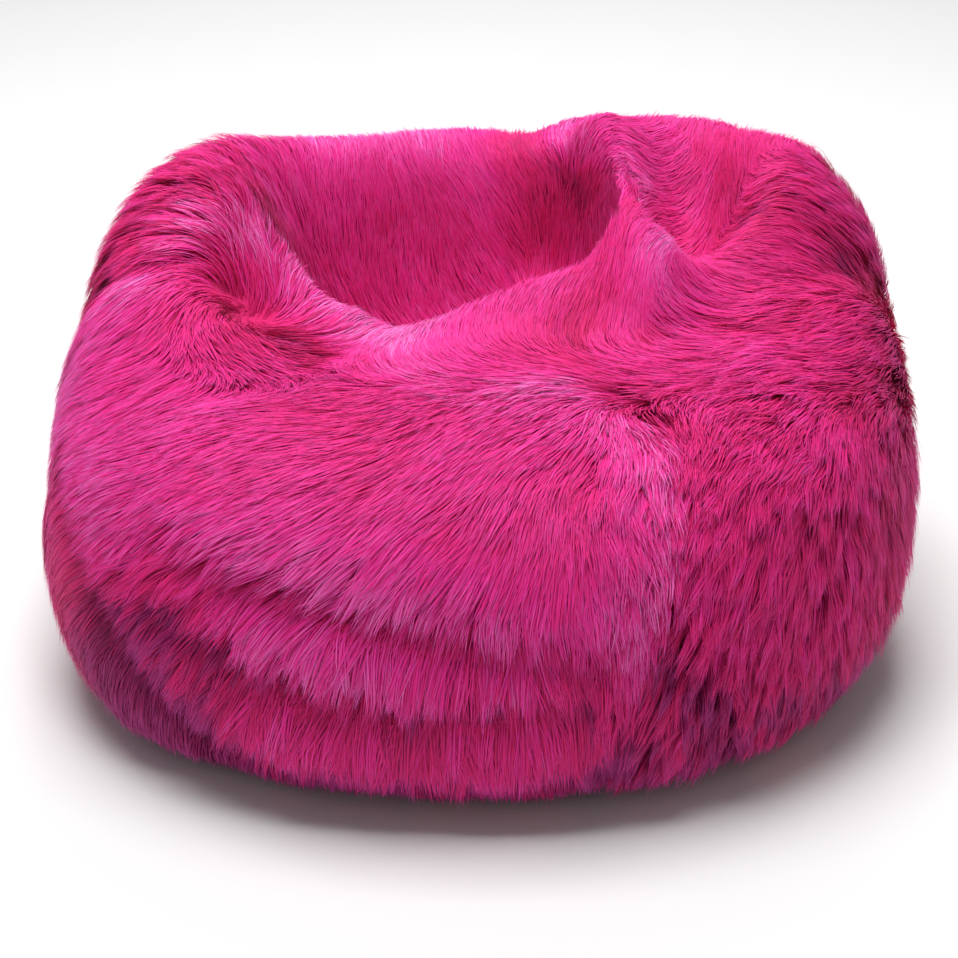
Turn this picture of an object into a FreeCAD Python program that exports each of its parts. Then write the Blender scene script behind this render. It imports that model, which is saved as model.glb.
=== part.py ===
import FreeCAD, Part
import math
import os

# A long-pile faux-fur bean bag chair, resting on the floor: a fur cover in four gores with a
# small top cap and a base panel in two halves, a liner cut the same way inside it, loose beads
# inside that, and a zip in each base.
# Millimetres, +Z up, -Y to the low front, +Y to the high back, +X to the right seen from the front.
# The origin is on the floor under the middle of the bag.

# ---- overall size of the filled bag, over the pile ----
HALF_WIDTH = 462.0
HALF_DEPTH = 418.0
OUTLINE_POWER = 2.35  # 2 is an ellipse, more is squarer
SECTION_POWER = 2.8  # how square the side of the bag is in section
BASE_SHARE = 0.64  # radius of the flat base panel over the radius of the bag
TOP_SHARE = 0.58  # radius where the side has turned over into the top
CAP_SHARE = 0.10  # radius of the small top cap over the radius of the bag
SIDE_END = 0.58  # share of the way from base to cap that is side wall
SIDE_WIDEST = 0.26  # share of the way where the cap's sideways shift begins
CENTRE_SHIFT = FreeCAD.Vector(-6.77, 3.33, 0.0)

# ---- the sat-in top: heights over the floor ----
FRONT_HEIGHT = 374.0
BACK_HEIGHT = 492.0
LEFT_ARM_RISE = 14.0
RIGHT_ARM_RISE = 44.0
BACK_RISE_FROM_TO = (-120.0, 250.0)  # y over which the top climbs from front to back
ARM_FROM_TO = (170.0, 330.0)  # distance from the middle over which an arm comes up
ARM_FRONT_TO_BACK = (-180.0, 120.0)  # y over which an arm comes up
CAP_CENTRE = (72.0, 135.0)
CAP_HEIGHT = 330.0
CAP_FLAT_RADIUS = 48.0
CAP_BLEND_RADIUS = 92.0

# Rounded swells (and hollows, where the height is below 0): height, centre, radii, steepness.
SWELLS = {
    "front lip": (12.0, (50.0, 15.0), (120.0, 50.0), 2.0),
    "low left lip": (-48.0, (-120.0, 15.0), (100.0, 70.0), 2.0),
    "seat hollow": (-225.0, (-50.0, 152.0), (165.0, 110.0), 3.2),
    "right hollow": (-88.0, (242.0, 150.0), (52.0, 100.0), 2.4),
    "right back corner": (-26.0, (320.0, 250.0), (80.0, 70.0), 2.0),
    "left pit": (-34.0, (-236.0, 30.0), (56.0, 50.0), 2.0),
    "back dip": (-26.0, (-90.0, 330.0), (210.0, 130.0), 3.0),
}
# Long ridges (and creases, where the height is below 0): height, start, end, width.
RIDGES = {
    "left arm ridge": (36.0, (-240.0, 120.0), (-125.0, 40.0), 44.0),
    "right inner ridge": (40.0, (135.0, 235.0), (190.0, 0.0), 48.0),
    "right arm crease": (-22.0, (230.0, -15.0), (470.0, 60.0), 40.0),
}

# ---- cloth, pile and the gaps between the layers ----
COVER_SQUASHED = 8.0  # fur cloth under the weight of the bag
COVER_LOFTED = 21.0  # fur cloth with its pile standing
LINER_OUTSIDE = 1.2  # liner face, under the cover
LINER_INSIDE = 2.8
FILL_OUTSIDE = 11.0
SEAM_GAP = 0.6  # half the gap between neighbouring panels
PANEL_INSET = 2.4  # from the gores' border to the base panel and the cap
SEAM_DEPTH = 9.0
SEAM_SPREAD = 34.0

# ---- seams, as angles at the base, at the shoulder and at the cap ----
SEAM_FRONT = (-73.0, -58.0, -80.0)
SEAM_RIGHT = (0.0, 6.0, -30.0)
SEAM_BACK = (85.0, 85.0, 90.0)
SEAM_LEFT = (172.0, 170.0, 190.0)
SEAMS = (SEAM_FRONT, SEAM_RIGHT, SEAM_BACK, SEAM_LEFT)
GORES = {
    "front_right": (SEAM_FRONT, SEAM_RIGHT),
    "back_right": (SEAM_RIGHT, SEAM_BACK),
    "back_left": (SEAM_BACK, SEAM_LEFT),
    "front_left": (SEAM_LEFT, tuple(a + 360.0 for a in SEAM_FRONT)),
}
DEGREES_PER_COLUMN = 7.0
SIDE_ROWS = 15
TOP_ROWS = 10

# ---- zips under the bag: each is straight and runs along X ----
COVER_ZIP = {
    "y": 0.0,
    "length": 490.0,
    "floor": 0.0,
    "cloth": 4.0,
    "slot": 14.0,
    "slider": (10.0, 13.0, 5.2),
    "slider_low": 2.6,
    "coil_low": 4.45,
    "tape_low": 4.8,
}
LINER_ZIP = {
    "y": -110.0,
    "length": 340.0,
    "floor": 9.2,
    "cloth": 1.6,
    "slot": 12.0,
    "slider": (8.0, 11.0, 4.0),
    "slider_low": 9.4,
    "coil_low": 10.65,
    "tape_low": 11.0,
}
SLOT_END_ROOM = 24.0
TAPE_WIDTH = 15.0
TAPE_THICK = 0.8
TAPE_PAST_STOPS = 14.0
LIP_THICK = 0.35  # the tape's thin edge that the coil is sewn to
COIL_SIZE = (1.9, 1.5)  # across and up
COIL_GAP = 0.6  # from the zip's middle line to each coil
SLIDER_CLEAR = 0.35
SLIDER_WEDGE = 0.25  # half thickness of the wedge between the coils
SLIDER_PLATE = 0.8
STOP_SIZE = (3.0, 6.0, 2.4)
STOP_CLEAR = 0.1
BRIDGE_SIZE = (5.4, 1.6, 1.7)  # the loop on the slider that holds the pull tab
BRIDGE_STRAP = 0.4
TAB_SIZE = (20.0, 7.0, 0.9)
TAB_WINDOW = (3.6, 2.4)  # reach past the bar and width of the hole round the bridge
TAB_BAR_DROP = 0.65  # bar's middle below the slider


def smooth(low, high, value):
    """0 below low, 1 above high, with an even ramp between them."""
    t = min(1.0, max(0.0, (value - low) / (high - low)))
    return t * t * (3.0 - 2.0 * t)


def bowl(x, y, centre, radii, power=2.0):
    """1 at the centre, falling to nothing past the radii."""
    d2 = ((x - centre[0]) / radii[0]) ** 2 + ((y - centre[1]) / radii[1]) ** 2
    return math.exp(-(d2 ** (power / 2.0)))


def ridge(x, y, start, end, spread):
    """1 along the straight line between two points, falling to nothing past the spread."""
    dx, dy = end[0] - start[0], end[1] - start[1]
    share = ((x - start[0]) * dx + (y - start[1]) * dy) / (dx * dx + dy * dy)
    share = min(1.0, max(0.0, share))
    off = math.hypot(x - start[0] - share * dx, y - start[1] - share * dy)
    return math.exp(-((off / spread) ** 2))


def top_height(x, y):
    """Height of the bag's top over the floor: low front, high back and arms, a sat-in seat."""
    z = FRONT_HEIGHT + (BACK_HEIGHT - FRONT_HEIGHT) * smooth(*BACK_RISE_FROM_TO, y)
    arm = LEFT_ARM_RISE if x < 0.0 else RIGHT_ARM_RISE
    z += arm * smooth(*ARM_FROM_TO, abs(x)) * smooth(*ARM_FRONT_TO_BACK, y)
    for height, centre, radii, steepness in SWELLS.values():
        z += height * bowl(x, y, centre, radii, steepness)
    for height, start, end, width in RIDGES.values():
        z += height * ridge(x, y, start, end, width)
    from_cap = math.hypot(x - CAP_CENTRE[0], y - CAP_CENTRE[1])
    flat = 1.0 - smooth(CAP_FLAT_RADIUS, CAP_BLEND_RADIUS, from_cap)
    return z + (CAP_HEIGHT - z) * flat


def outline(angle):
    """Radius of the bag seen from above, angle in radians."""
    across = abs(math.cos(angle) / HALF_WIDTH) ** OUTLINE_POWER
    along = abs(math.sin(angle) / HALF_DEPTH) ** OUTLINE_POWER
    lumps = 1.0 + 0.010 * math.sin(3.0 * angle + 1.0) + 0.008 * math.sin(5.0 * angle + 2.2)
    return lumps * (across + along) ** (-1.0 / OUTLINE_POWER)


def section(v):
    """Share of the outline's radius and share of the top's height, v from base edge 0 to cap edge 1."""
    if v >= SIDE_END:
        return TOP_SHARE + (CAP_SHARE - TOP_SHARE) * (v - SIDE_END) / (1.0 - SIDE_END), 1.0
    turn = math.pi * (v / SIDE_END - 0.5)
    c, s = math.cos(turn), math.sin(turn)
    size = (abs(c) ** SECTION_POWER + abs(s) ** SECTION_POWER) ** (-1.0 / SECTION_POWER)
    edge = BASE_SHARE if turn < 0.0 else TOP_SHARE
    return edge + (1.0 - edge) * c * size, (0.5 + 0.5 * s * size) ** 1.1


def seam_angle(seam, v):
    """Angle of a seam in radians: base, shoulder and cap values joined smoothly."""
    base, shoulder, cap = seam
    angle = base + (shoulder - base) * smooth(0.1, 0.55, v) + (cap - shoulder) * smooth(0.5, 1.0, v)
    return math.radians(angle)


def bare_point(angle, v):
    """A point of the bag's face before the seams draw it in."""
    share, rise = section(v)
    radius = share * outline(angle)
    shift = smooth(SIDE_WIDEST, 1.0, v)
    x = CAP_CENTRE[0] * shift + radius * math.cos(angle)
    y = CAP_CENTRE[1] * shift + radius * math.sin(angle)
    return FreeCAD.Vector(x, y, rise * top_height(x, y))


def face_normal(angle, v):
    """Outward direction of the bag's face."""
    small = 1e-3
    low, high = max(0.0, v - small), min(1.0, v + small)
    across = bare_point(angle + small, v) - bare_point(angle - small, v)
    up = bare_point(angle, high) - bare_point(angle, low)
    return across.cross(up).normalize()


def seam_pull(angle, v):
    """How far the nearest seam draws the face in; nothing at the base and at the cap."""
    radius = section(v)[0] * outline(angle)
    nearest = min(
        abs(math.remainder(angle - seam_angle(seam, v), 2.0 * math.pi)) * radius for seam in SEAMS
    )
    held = smooth(0.06, 0.2, v) * smooth(1.0, 0.82, v)
    return SEAM_DEPTH * held * math.exp(-((nearest / SEAM_SPREAD) ** 2))


def cover_thickness(v):
    """Fur cloth's thickness: squashed under the bag, lofted on its side and top."""
    return COVER_SQUASHED + (COVER_LOFTED - COVER_SQUASHED) * smooth(0.03, 0.2, v)


def layer_point(angle, v, under):
    """A point a set depth below the bag's face. under is None for the face itself, or the
    extra depth below the fur cloth."""
    depth = seam_pull(angle, v)
    if under is not None:
        depth += cover_thickness(v) + under
    return bare_point(angle, v) - face_normal(angle, v) * depth + CENTRE_SHIFT


def rows():
    """Stations from the base edge to the cap edge."""
    side = [SIDE_END * i / SIDE_ROWS for i in range(SIDE_ROWS)]
    top = [SIDE_END + (1.0 - SIDE_END) * i / TOP_ROWS for i in range(TOP_ROWS + 1)]
    return side + top


def knots(count):
    """Knots and their repeats of an open cubic curve with this many poles."""
    spans = count - 3
    return [float(i) for i in range(spans + 1)], [4] + [1] * (spans - 1) + [4]


def draped_surface(grid):
    """A smooth cubic surface drawn over a net of poles, which it never overshoots."""
    surface = Part.BSplineSurface()
    u_knots, u_mults = knots(len(grid))
    v_knots, v_mults = knots(len(grid[0]))
    surface.buildFromPolesMultsKnots(grid, u_mults, v_mults, u_knots, v_knots, False, False, 3, 3)
    return surface


def edge_strip(outer_poles, inner_poles):
    """The straight-across strip between an outer border and the inner border below it."""
    strip = Part.BSplineSurface()
    long_knots, long_mults = knots(len(outer_poles))
    strip.buildFromPolesMultsKnots(
        [outer_poles, inner_poles], [2, 2], long_mults, [0.0, 1.0], long_knots, False, False, 1, 3
    )
    return strip.toShape()


def gore_net(seams, under):
    """Poles of one panel's face between two seams, with half a seam gap at each side."""
    columns = int(round((seams[1][1] - seams[0][1]) / DEGREES_PER_COLUMN))
    grid = []
    for v in rows():
        gap = SEAM_GAP / (section(v)[0] * outline(seam_angle(seams[0], v)))
        start = seam_angle(seams[0], v) + gap
        end = seam_angle(seams[1], v) - gap
        grid.append(
            [layer_point(start + (end - start) * i / columns, v, under) for i in range(columns + 1)]
        )
    return grid


def borders(net):
    """The four border lines of a net of poles."""
    return [net[0], net[-1], [row[0] for row in net], [row[-1] for row in net]]


def solid_from(faces):
    """A closed solid from faces that meet at their edges."""
    shell = Part.makeShell(faces)
    shell.sewShape()
    solid = Part.makeSolid(shell)
    if solid.Volume < 0:
        solid.reverse()
    return solid


def gore(seams, outside, inside):
    """One sewn panel as a closed sheet of its own thickness."""
    outer = gore_net(seams, outside)
    inner = gore_net(seams, inside)
    strips = [edge_strip(a, b) for a, b in zip(borders(outer), borders(inner))]
    return solid_from([draped_surface(outer).toShape(), draped_surface(inner).toShape()] + strips)


def ring_wire(v, under, inset):
    """A closed level line of the bag at station v, drawn in by a small inset."""
    points = []
    for i in range(72):
        angle = 2.0 * math.pi * i / 72
        point = layer_point(angle, v, under)
        points.append(point - FreeCAD.Vector(math.cos(angle), math.sin(angle), 0.0) * inset)
    curve = Part.BSplineCurve()
    curve.interpolate(Points=points, PeriodicFlag=True)
    return Part.Wire(curve.toShape())


def cap(outside, inside):
    """The small round panel where the gores meet, in the bottom of the seat."""
    top = layer_point(0.0, 1.0, outside).z
    bottom = layer_point(0.0, 1.0, inside).z
    face = Part.Face(ring_wire(1.0, outside, PANEL_INSET))
    return face.extrude(FreeCAD.Vector(0.0, 0.0, bottom - top))


def base_half(side, outside, zip_size):
    """Half of the flat base panel, on one side (1 back, -1 front) of its zip."""
    face = Part.Face(ring_wire(0.0, outside, PANEL_INSET))
    face.translate(FreeCAD.Vector(0.0, 0.0, zip_size["floor"] - face.BoundBox.ZMin))
    panel = face.extrude(FreeCAD.Vector(0.0, 0.0, zip_size["cloth"]))
    reach = 2.0 * HALF_WIDTH
    edge = zip_size["y"] + side * SEAM_GAP
    half_space = Part.makeBox(2.0 * reach, reach, 40.0)
    low_y = edge if side > 0 else edge - reach
    half_space.translate(FreeCAD.Vector(-reach, low_y, zip_size["floor"] - 10.0))
    slot_reach = zip_size["length"] / 2.0 + SLOT_END_ROOM
    slot = Part.makeBox(2.0 * slot_reach, zip_size["slot"], 40.0)
    slot.translate(
        FreeCAD.Vector(
            -slot_reach, zip_size["y"] - zip_size["slot"] / 2.0, zip_size["floor"] - 10.0
        )
    )
    return panel.common(half_space).cut(slot)


def bead_fill():
    """The packed beads as one body under the liner."""
    columns = int(round(360.0 / DEGREES_PER_COLUMN))
    grid = []
    for v in rows():
        start = seam_angle(SEAM_BACK, v)
        ring = [
            layer_point(start + 2.0 * math.pi * i / columns, v, FILL_OUTSIDE) for i in range(columns)
        ]
        grid.append(ring + [ring[0]])
    surface = draped_surface(grid)
    u0, u1, v0, v1 = surface.bounds()
    bottom = Part.Face(Part.Wire(surface.uIso(u0).toShape()))
    top = Part.Face(Part.Wire(surface.uIso(u1).toShape()))
    return solid_from([surface.toShape(), bottom, top])


def box_at(low, size):
    """A box from its low corner and its size."""
    return Part.makeBox(size[0], size[1], size[2], FreeCAD.Vector(*low))


def side_box(y, side, near, far, x_reach, low, high):
    """A box along the zip on one side of its middle line, from near to far off the line."""
    low_y = y + near if side > 0 else y - far
    return box_at((-x_reach, low_y, low), (2.0 * x_reach, far - near, high - low))


def tape_lip(zip_size, side, swell=0.0):
    """The tape's thin inner edge, from the coil out to the woven band."""
    middle = zip_size["coil_low"] + COIL_SIZE[1] / 2.0
    near = COIL_GAP + COIL_SIZE[0]
    far = zip_size["slider"][1] / 2.0 + SLIDER_CLEAR
    reach = zip_size["length"] / 2.0 + TAPE_PAST_STOPS
    half = LIP_THICK / 2.0 + swell
    return side_box(zip_size["y"], side, near - swell, far, reach, middle - half, middle + half)


def zip_tape(zip_size, side):
    """Woven tape that carries one row of coil, lying over the base cloth."""
    near = zip_size["slider"][1] / 2.0 + SLIDER_CLEAR
    reach = zip_size["length"] / 2.0 + TAPE_PAST_STOPS
    low = zip_size["tape_low"]
    band = side_box(zip_size["y"], side, near, near + TAPE_WIDTH, reach, low, low + TAPE_THICK)
    return band.fuse(tape_lip(zip_size, side)).removeSplitter()


def zip_coil(zip_size, side):
    """One row of nylon coil along its tape's lip."""
    reach = zip_size["length"] / 2.0 - STOP_SIZE[0]
    low = zip_size["coil_low"]
    return side_box(
        zip_size["y"], side, COIL_GAP, COIL_GAP + COIL_SIZE[0], reach, low, low + COIL_SIZE[1]
    )


def zip_stop(zip_size, end):
    """Metal stop clamped over both tapes' lips at one end of the zip."""
    low_x = zip_size["length"] / 2.0 - STOP_SIZE[0] + STOP_CLEAR
    if end < 0:
        low_x = -low_x - STOP_SIZE[0]
    low_z = zip_size["coil_low"] + (COIL_SIZE[1] - STOP_SIZE[2]) / 2.0
    stop = box_at((low_x, zip_size["y"] - STOP_SIZE[1] / 2.0, low_z), STOP_SIZE)
    for side in (-1, 1):
        stop = stop.cut(tape_lip(zip_size, side, 0.02))
    return stop


def slider_middle(zip_size):
    """Middle of the slider along X when the zip is shut."""
    return -(zip_size["length"] / 2.0 - STOP_SIZE[0] - zip_size["slider"][0] / 2.0 - 1.0)


def slider_body(zip_size):
    """Two plates joined by a thin wedge between the coils."""
    long, wide, tall = zip_size["slider"]
    x = slider_middle(zip_size) - long / 2.0
    y = zip_size["y"]
    low = zip_size["slider_low"]
    plate = (long, wide, SLIDER_PLATE)
    lower = box_at((x, y - wide / 2.0, low), plate)
    upper = box_at((x, y - wide / 2.0, low + tall - SLIDER_PLATE), plate)
    wedge = box_at((x + long * 0.45, y - SLIDER_WEDGE, low), (long * 0.5, 2.0 * SLIDER_WEDGE, tall))
    return lower.fuse([upper, wedge]).removeSplitter()


def slider_bridge(zip_size):
    """The little loop under the slider that the pull tab's bar turns in."""
    long, wide, tall = BRIDGE_SIZE
    low = zip_size["slider_low"] - tall
    x = slider_middle(zip_size) - long / 2.0
    loop = box_at((x, zip_size["y"] - wide / 2.0, low), (long, wide, tall + 0.1))
    gap = box_at(
        (x + BRIDGE_STRAP * 2.0, zip_size["y"] - wide, low + BRIDGE_STRAP),
        (long - BRIDGE_STRAP * 4.0, 2.0 * wide, tall - BRIDGE_STRAP),
    )
    return loop.cut(gap)


def pull_tab(zip_size):
    """Flat tab with a round bar at one end that turns in the slider's bridge."""
    long, wide, thick = TAB_SIZE
    reach, window = TAB_WINDOW
    x = slider_middle(zip_size)
    y = zip_size["y"]
    middle = zip_size["slider_low"] - TAB_BAR_DROP
    plate = box_at((x, y - wide / 2.0, middle - thick / 2.0), (long, wide, thick))
    rounding = [e for e in plate.Edges if abs(e.Vertexes[0].X - e.Vertexes[-1].X) < 0.01
                and e.CenterOfMass.x > x + long * 0.9 and e.BoundBox.ZLength > thick * 0.5]
    plate = plate.makeFillet(wide * 0.35, rounding)
    hole = box_at((x - 1.0, y - window / 2.0, middle - thick), (reach + 1.0, window, 2.0 * thick))
    bar = Part.makeCylinder(
        thick / 2.0, wide, FreeCAD.Vector(x, y - wide / 2.0, middle), FreeCAD.Vector(0, 1, 0)
    )
    return plate.cut(hole).fuse(bar).removeSplitter()


def build_parts():
    """Every separate piece of the bean bag, by node name."""
    parts = {}
    for name, seams in GORES.items():
        parts["cover_gore_" + name] = gore(seams, None, 0.0)
        parts["liner_gore_" + name] = gore(seams, LINER_OUTSIDE, LINER_INSIDE)
    parts["cover_top_cap"] = cap(None, 0.0)
    parts["liner_top_cap"] = cap(LINER_OUTSIDE, LINER_INSIDE)
    parts["bead_fill"] = bead_fill()
    for layer, zip_size, under in (("cover", COVER_ZIP, None), ("liner", LINER_ZIP, LINER_OUTSIDE)):
        for place, side in (("front", -1), ("back", 1)):
            parts["%s_base_%s" % (layer, place)] = base_half(side, under, zip_size)
            parts["%s_zip_tape_%s" % (layer, place)] = zip_tape(zip_size, side)
            parts["%s_zip_coil_%s" % (layer, place)] = zip_coil(zip_size, side)
        parts["%s_zip_closed_end_stop" % layer] = zip_stop(zip_size, -1)
        parts["%s_zip_open_end_stop" % layer] = zip_stop(zip_size, 1)
        parts["%s_zip_slider" % layer] = slider_body(zip_size)
    parts["cover_zip_slider"] = parts["cover_zip_slider"].fuse(slider_bridge(COVER_ZIP))
    parts["cover_zip_pull_tab"] = pull_tab(COVER_ZIP)
    return parts


os.makedirs("parts", exist_ok=True)
for name, shape in build_parts().items():
    shape.exportStep(os.path.join("parts", name + ".step"))
    box = shape.BoundBox
    print("%-34s valid %s solids %d volume %.0f  x %.1f..%.1f y %.1f..%.1f z %.1f..%.1f" % (
        name, shape.isValid(), len(shape.Solids), shape.Volume,
        box.XMin, box.XMax, box.YMin, box.YMax, box.ZMin, box.ZMax))
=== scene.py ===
"""Looks of a bean bag chair: a long-pile faux-fur cover over a bead-filled liner.

The bag is one closed surface in two numbers. The angle runs round it from +X, anticlockwise
seen from above, and the way runs over it from the base edge (0), out round the side, over the
shoulder and down into the seat hollow to the small top cap (1). Everything sewn, stuffed or
growing on the bag is worked out from that surface. All lengths are metres.
"""

import bpy
import numpy as np
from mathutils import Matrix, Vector
from bpy.props import FloatProperty, FloatVectorProperty, IntProperty, PointerProperty


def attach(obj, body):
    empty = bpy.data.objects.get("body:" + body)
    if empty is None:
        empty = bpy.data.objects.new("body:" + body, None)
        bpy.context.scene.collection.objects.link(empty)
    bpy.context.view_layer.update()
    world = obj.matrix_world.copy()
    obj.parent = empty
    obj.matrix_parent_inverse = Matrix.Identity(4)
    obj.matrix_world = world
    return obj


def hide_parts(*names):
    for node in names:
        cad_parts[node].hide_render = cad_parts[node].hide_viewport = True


bl_info = {
    "name": "Faux Fur Bean Bag",
    "version": (1, 0, 0),
    "blender": (4, 5, 0),
    "location": "View3D > Sidebar > Bean Bag",
    "description": "Makes the cover, the pile, the liner and the zips of a bean bag chair",
    "category": "Object",
}

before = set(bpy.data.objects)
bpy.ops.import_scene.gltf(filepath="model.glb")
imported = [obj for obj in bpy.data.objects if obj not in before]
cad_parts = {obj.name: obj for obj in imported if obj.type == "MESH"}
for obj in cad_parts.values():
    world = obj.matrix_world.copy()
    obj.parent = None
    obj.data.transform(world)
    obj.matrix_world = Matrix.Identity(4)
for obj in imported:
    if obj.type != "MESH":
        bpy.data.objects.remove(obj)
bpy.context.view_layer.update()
SEED = 20

# ---------------------------------------------------------------- the form of the bag

HALF_WIDTH = 0.462
HALF_DEPTH = 0.418
OUTLINE_POWER = 2.35
SECTION_POWER = 2.8
BASE_SHARE = 0.64
TOP_SHARE = 0.58
CAP_SHARE = 0.10
SIDE_END = 0.58
SIDE_WIDEST = 0.26
WAY_TO_MIDDLE = 1.0875
FRONT_HEIGHT = 0.374
BACK_HEIGHT = 0.492
LEFT_ARM_RISE = 0.014
RIGHT_ARM_RISE = 0.044
BACK_RISE_FROM_TO = (-0.120, 0.250)
ARM_FROM_TO = (0.170, 0.330)
ARM_FRONT_TO_BACK = (-0.180, 0.120)
CAP_CENTRE = (0.072, 0.135)
CAP_HEIGHT = 0.330
CAP_FLAT_RADIUS = 0.048
CAP_BLEND_RADIUS = 0.092
CENTRE_SHIFT = np.array([-0.0068, 0.0033, 0.0])
RISE_POWER = 1.1
# Slow waves that make the outline a little uneven: size, waves round the bag, start.
OUTLINE_WAVES = ((0.010, 3.0, 1.0), (0.008, 5.0, 2.2))

# Swells of the top (hollows, where the rise is below 0): rise, centre, radii, steepness.
SWELLS = {
    "front lip": (0.012, (0.050, 0.015), (0.120, 0.050), 2.0),
    "low left lip": (-0.048, (-0.120, 0.015), (0.100, 0.070), 2.0),
    "seat hollow": (-0.225, (-0.050, 0.152), (0.165, 0.110), 3.2),
    "right hollow": (-0.088, (0.242, 0.150), (0.052, 0.100), 2.4),
    "right back corner": (-0.026, (0.320, 0.250), (0.080, 0.070), 2.0),
    "left pit": (-0.034, (-0.236, 0.030), (0.056, 0.050), 2.0),
    "back dip": (-0.026, (-0.090, 0.330), (0.210, 0.130), 3.0),
}
# Ridges of the top (creases, where the rise is below 0): rise, start, end, width.
RIDGES = {
    "left arm ridge": (0.036, (-0.240, 0.120), (-0.125, 0.040), 0.044),
    "right inner ridge": (0.040, (0.135, 0.235), (0.190, 0.0), 0.048),
    "right arm crease": (-0.022, (0.230, -0.015), (0.470, 0.060), 0.040),
}

# Each seam's angle in degrees at the base, on the shoulder and at the cap.
FRONT_SEAM = (-73.0, -58.0, -80.0)
RIGHT_SEAM = (0.0, 6.0, -30.0)
BACK_SEAM = (85.0, 85.0, 90.0)
LEFT_SEAM = (172.0, 170.0, 190.0)
FRONT_SEAM_ROUND = tuple(degrees + 360.0 for degrees in FRONT_SEAM)
GORES = {
    "front_right": (FRONT_SEAM, RIGHT_SEAM),
    "back_right": (RIGHT_SEAM, BACK_SEAM),
    "back_left": (BACK_SEAM, LEFT_SEAM),
    "front_left": (LEFT_SEAM, FRONT_SEAM_ROUND),
}
SEAMS = (FRONT_SEAM, RIGHT_SEAM, BACK_SEAM, LEFT_SEAM)
SEAM_TO_SHOULDER = (0.1, 0.55)
SEAM_TO_CAP = (0.5, 1.0)
SEAM_DEPTH = 0.012
SEAM_SPREAD = 0.030
LUMP_HEIGHT = 0.0022
LEAST_SHARE = 0.05
MEAN_REACH = 0.45
SMALL_STEP = 2e-4


def smooth(low, high, value):
    """Rises from 0 at low to 1 at high along a cubic that is level at both ends."""
    share = np.clip((value - low) / (high - low), 0.0, 1.0)
    return share * share * (3.0 - 2.0 * share)


def bowl(x, y, centre, radii, power=2.0):
    """1 at the centre, falling to nothing past an ellipse; a high power has steep walls."""
    away = ((x - centre[0]) / radii[0]) ** 2 + ((y - centre[1]) / radii[1]) ** 2
    return np.exp(-away ** (power / 2.0))


def ridge(x, y, start, end, width):
    """1 along the line from start to end seen from above, falling off within the width."""
    run_x, run_y = end[0] - start[0], end[1] - start[1]
    along = ((x - start[0]) * run_x + (y - start[1]) * run_y) / (run_x ** 2 + run_y ** 2)
    along = np.clip(along, 0.0, 1.0)
    off = np.hypot(x - start[0] - along * run_x, y - start[1] - along * run_y)
    return np.exp(-((off / width) ** 2))


def top_height(x, y):
    """Height of the bag's upper side over a place on the floor: a slope from the low front to
    the high back, two arms, and the swells, hollows, ridges and creases added to it."""
    backwards = smooth(*ARM_FRONT_TO_BACK, y)
    height = FRONT_HEIGHT + (BACK_HEIGHT - FRONT_HEIGHT) * smooth(*BACK_RISE_FROM_TO, y)
    height = height + LEFT_ARM_RISE * smooth(*ARM_FROM_TO, -x) * backwards
    height = height + RIGHT_ARM_RISE * smooth(*ARM_FROM_TO, x) * backwards
    for rise, centre, radii, steepness in SWELLS.values():
        height = height + rise * bowl(x, y, centre, radii, steepness)
    for rise, start, end, width in RIDGES.values():
        height = height + rise * ridge(x, y, start, end, width)
    from_cap = np.hypot(x - CAP_CENTRE[0], y - CAP_CENTRE[1])
    flat = 1.0 - smooth(CAP_FLAT_RADIUS, CAP_BLEND_RADIUS, from_cap)
    return height + (CAP_HEIGHT - height) * flat


def outline(angle):
    """Distance from the middle to the bag's widest line: a superellipse times slow waves."""
    across = np.abs(np.cos(angle) / HALF_WIDTH) ** OUTLINE_POWER
    along = np.abs(np.sin(angle) / HALF_DEPTH) ** OUTLINE_POWER
    uneven = 1.0
    for size, waves, start in OUTLINE_WAVES:
        uneven = uneven + size * np.sin(waves * angle + start)
    return uneven * (across + along) ** (-1.0 / OUTLINE_POWER)


def section(way):
    """Share of the outline and share of the height at a way over the bag: half a
    superellipse up the side, then a straight run in to the cap at full height."""
    turn = np.pi * (np.minimum(way, SIDE_END) / SIDE_END - 0.5)
    across, up = np.cos(turn), np.sin(turn)
    powers = np.abs(across) ** SECTION_POWER + np.abs(up) ** SECTION_POWER
    size = powers ** (-1.0 / SECTION_POWER)
    edge = np.where(turn < 0.0, BASE_SHARE, TOP_SHARE)
    side_share = edge + (1.0 - edge) * across * size
    side_rise = np.clip(0.5 + 0.5 * up * size, 0.0, 1.0) ** RISE_POWER
    inwards = (way - SIDE_END) / (1.0 - SIDE_END)
    top_share = np.maximum(TOP_SHARE + (CAP_SHARE - TOP_SHARE) * inwards, 0.0)
    on_top = way >= SIDE_END
    return np.where(on_top, top_share, side_share), np.where(on_top, 1.0, side_rise)


def seam_angle(seam, way):
    """Angle in radians of a seam at a way over the bag: smooth turns between its three."""
    base, shoulder, cap = seam
    degrees = base + (shoulder - base) * smooth(*SEAM_TO_SHOULDER, way)
    return np.radians(degrees + (cap - shoulder) * smooth(*SEAM_TO_CAP, way))


def bare_point(angle, way):
    """A place on the bag's surface before seams and folds press it in: the section's share of
    the outline, round a middle that moves towards the cap, at its share of the top's height."""
    share, rise = section(way)
    reach = share * outline(angle)
    shift = smooth(SIDE_WIDEST, 1.0, way)
    x = CAP_CENTRE[0] * shift + reach * np.cos(angle)
    y = CAP_CENTRE[1] * shift + reach * np.sin(angle)
    return np.stack([x, y, rise * top_height(x, y)], -1) + CENTRE_SHIFT


def unit(vectors):
    """Vectors of length 1 in the same directions."""
    return vectors / np.maximum(np.linalg.norm(vectors, axis=-1, keepdims=True), 1e-12)


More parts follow.
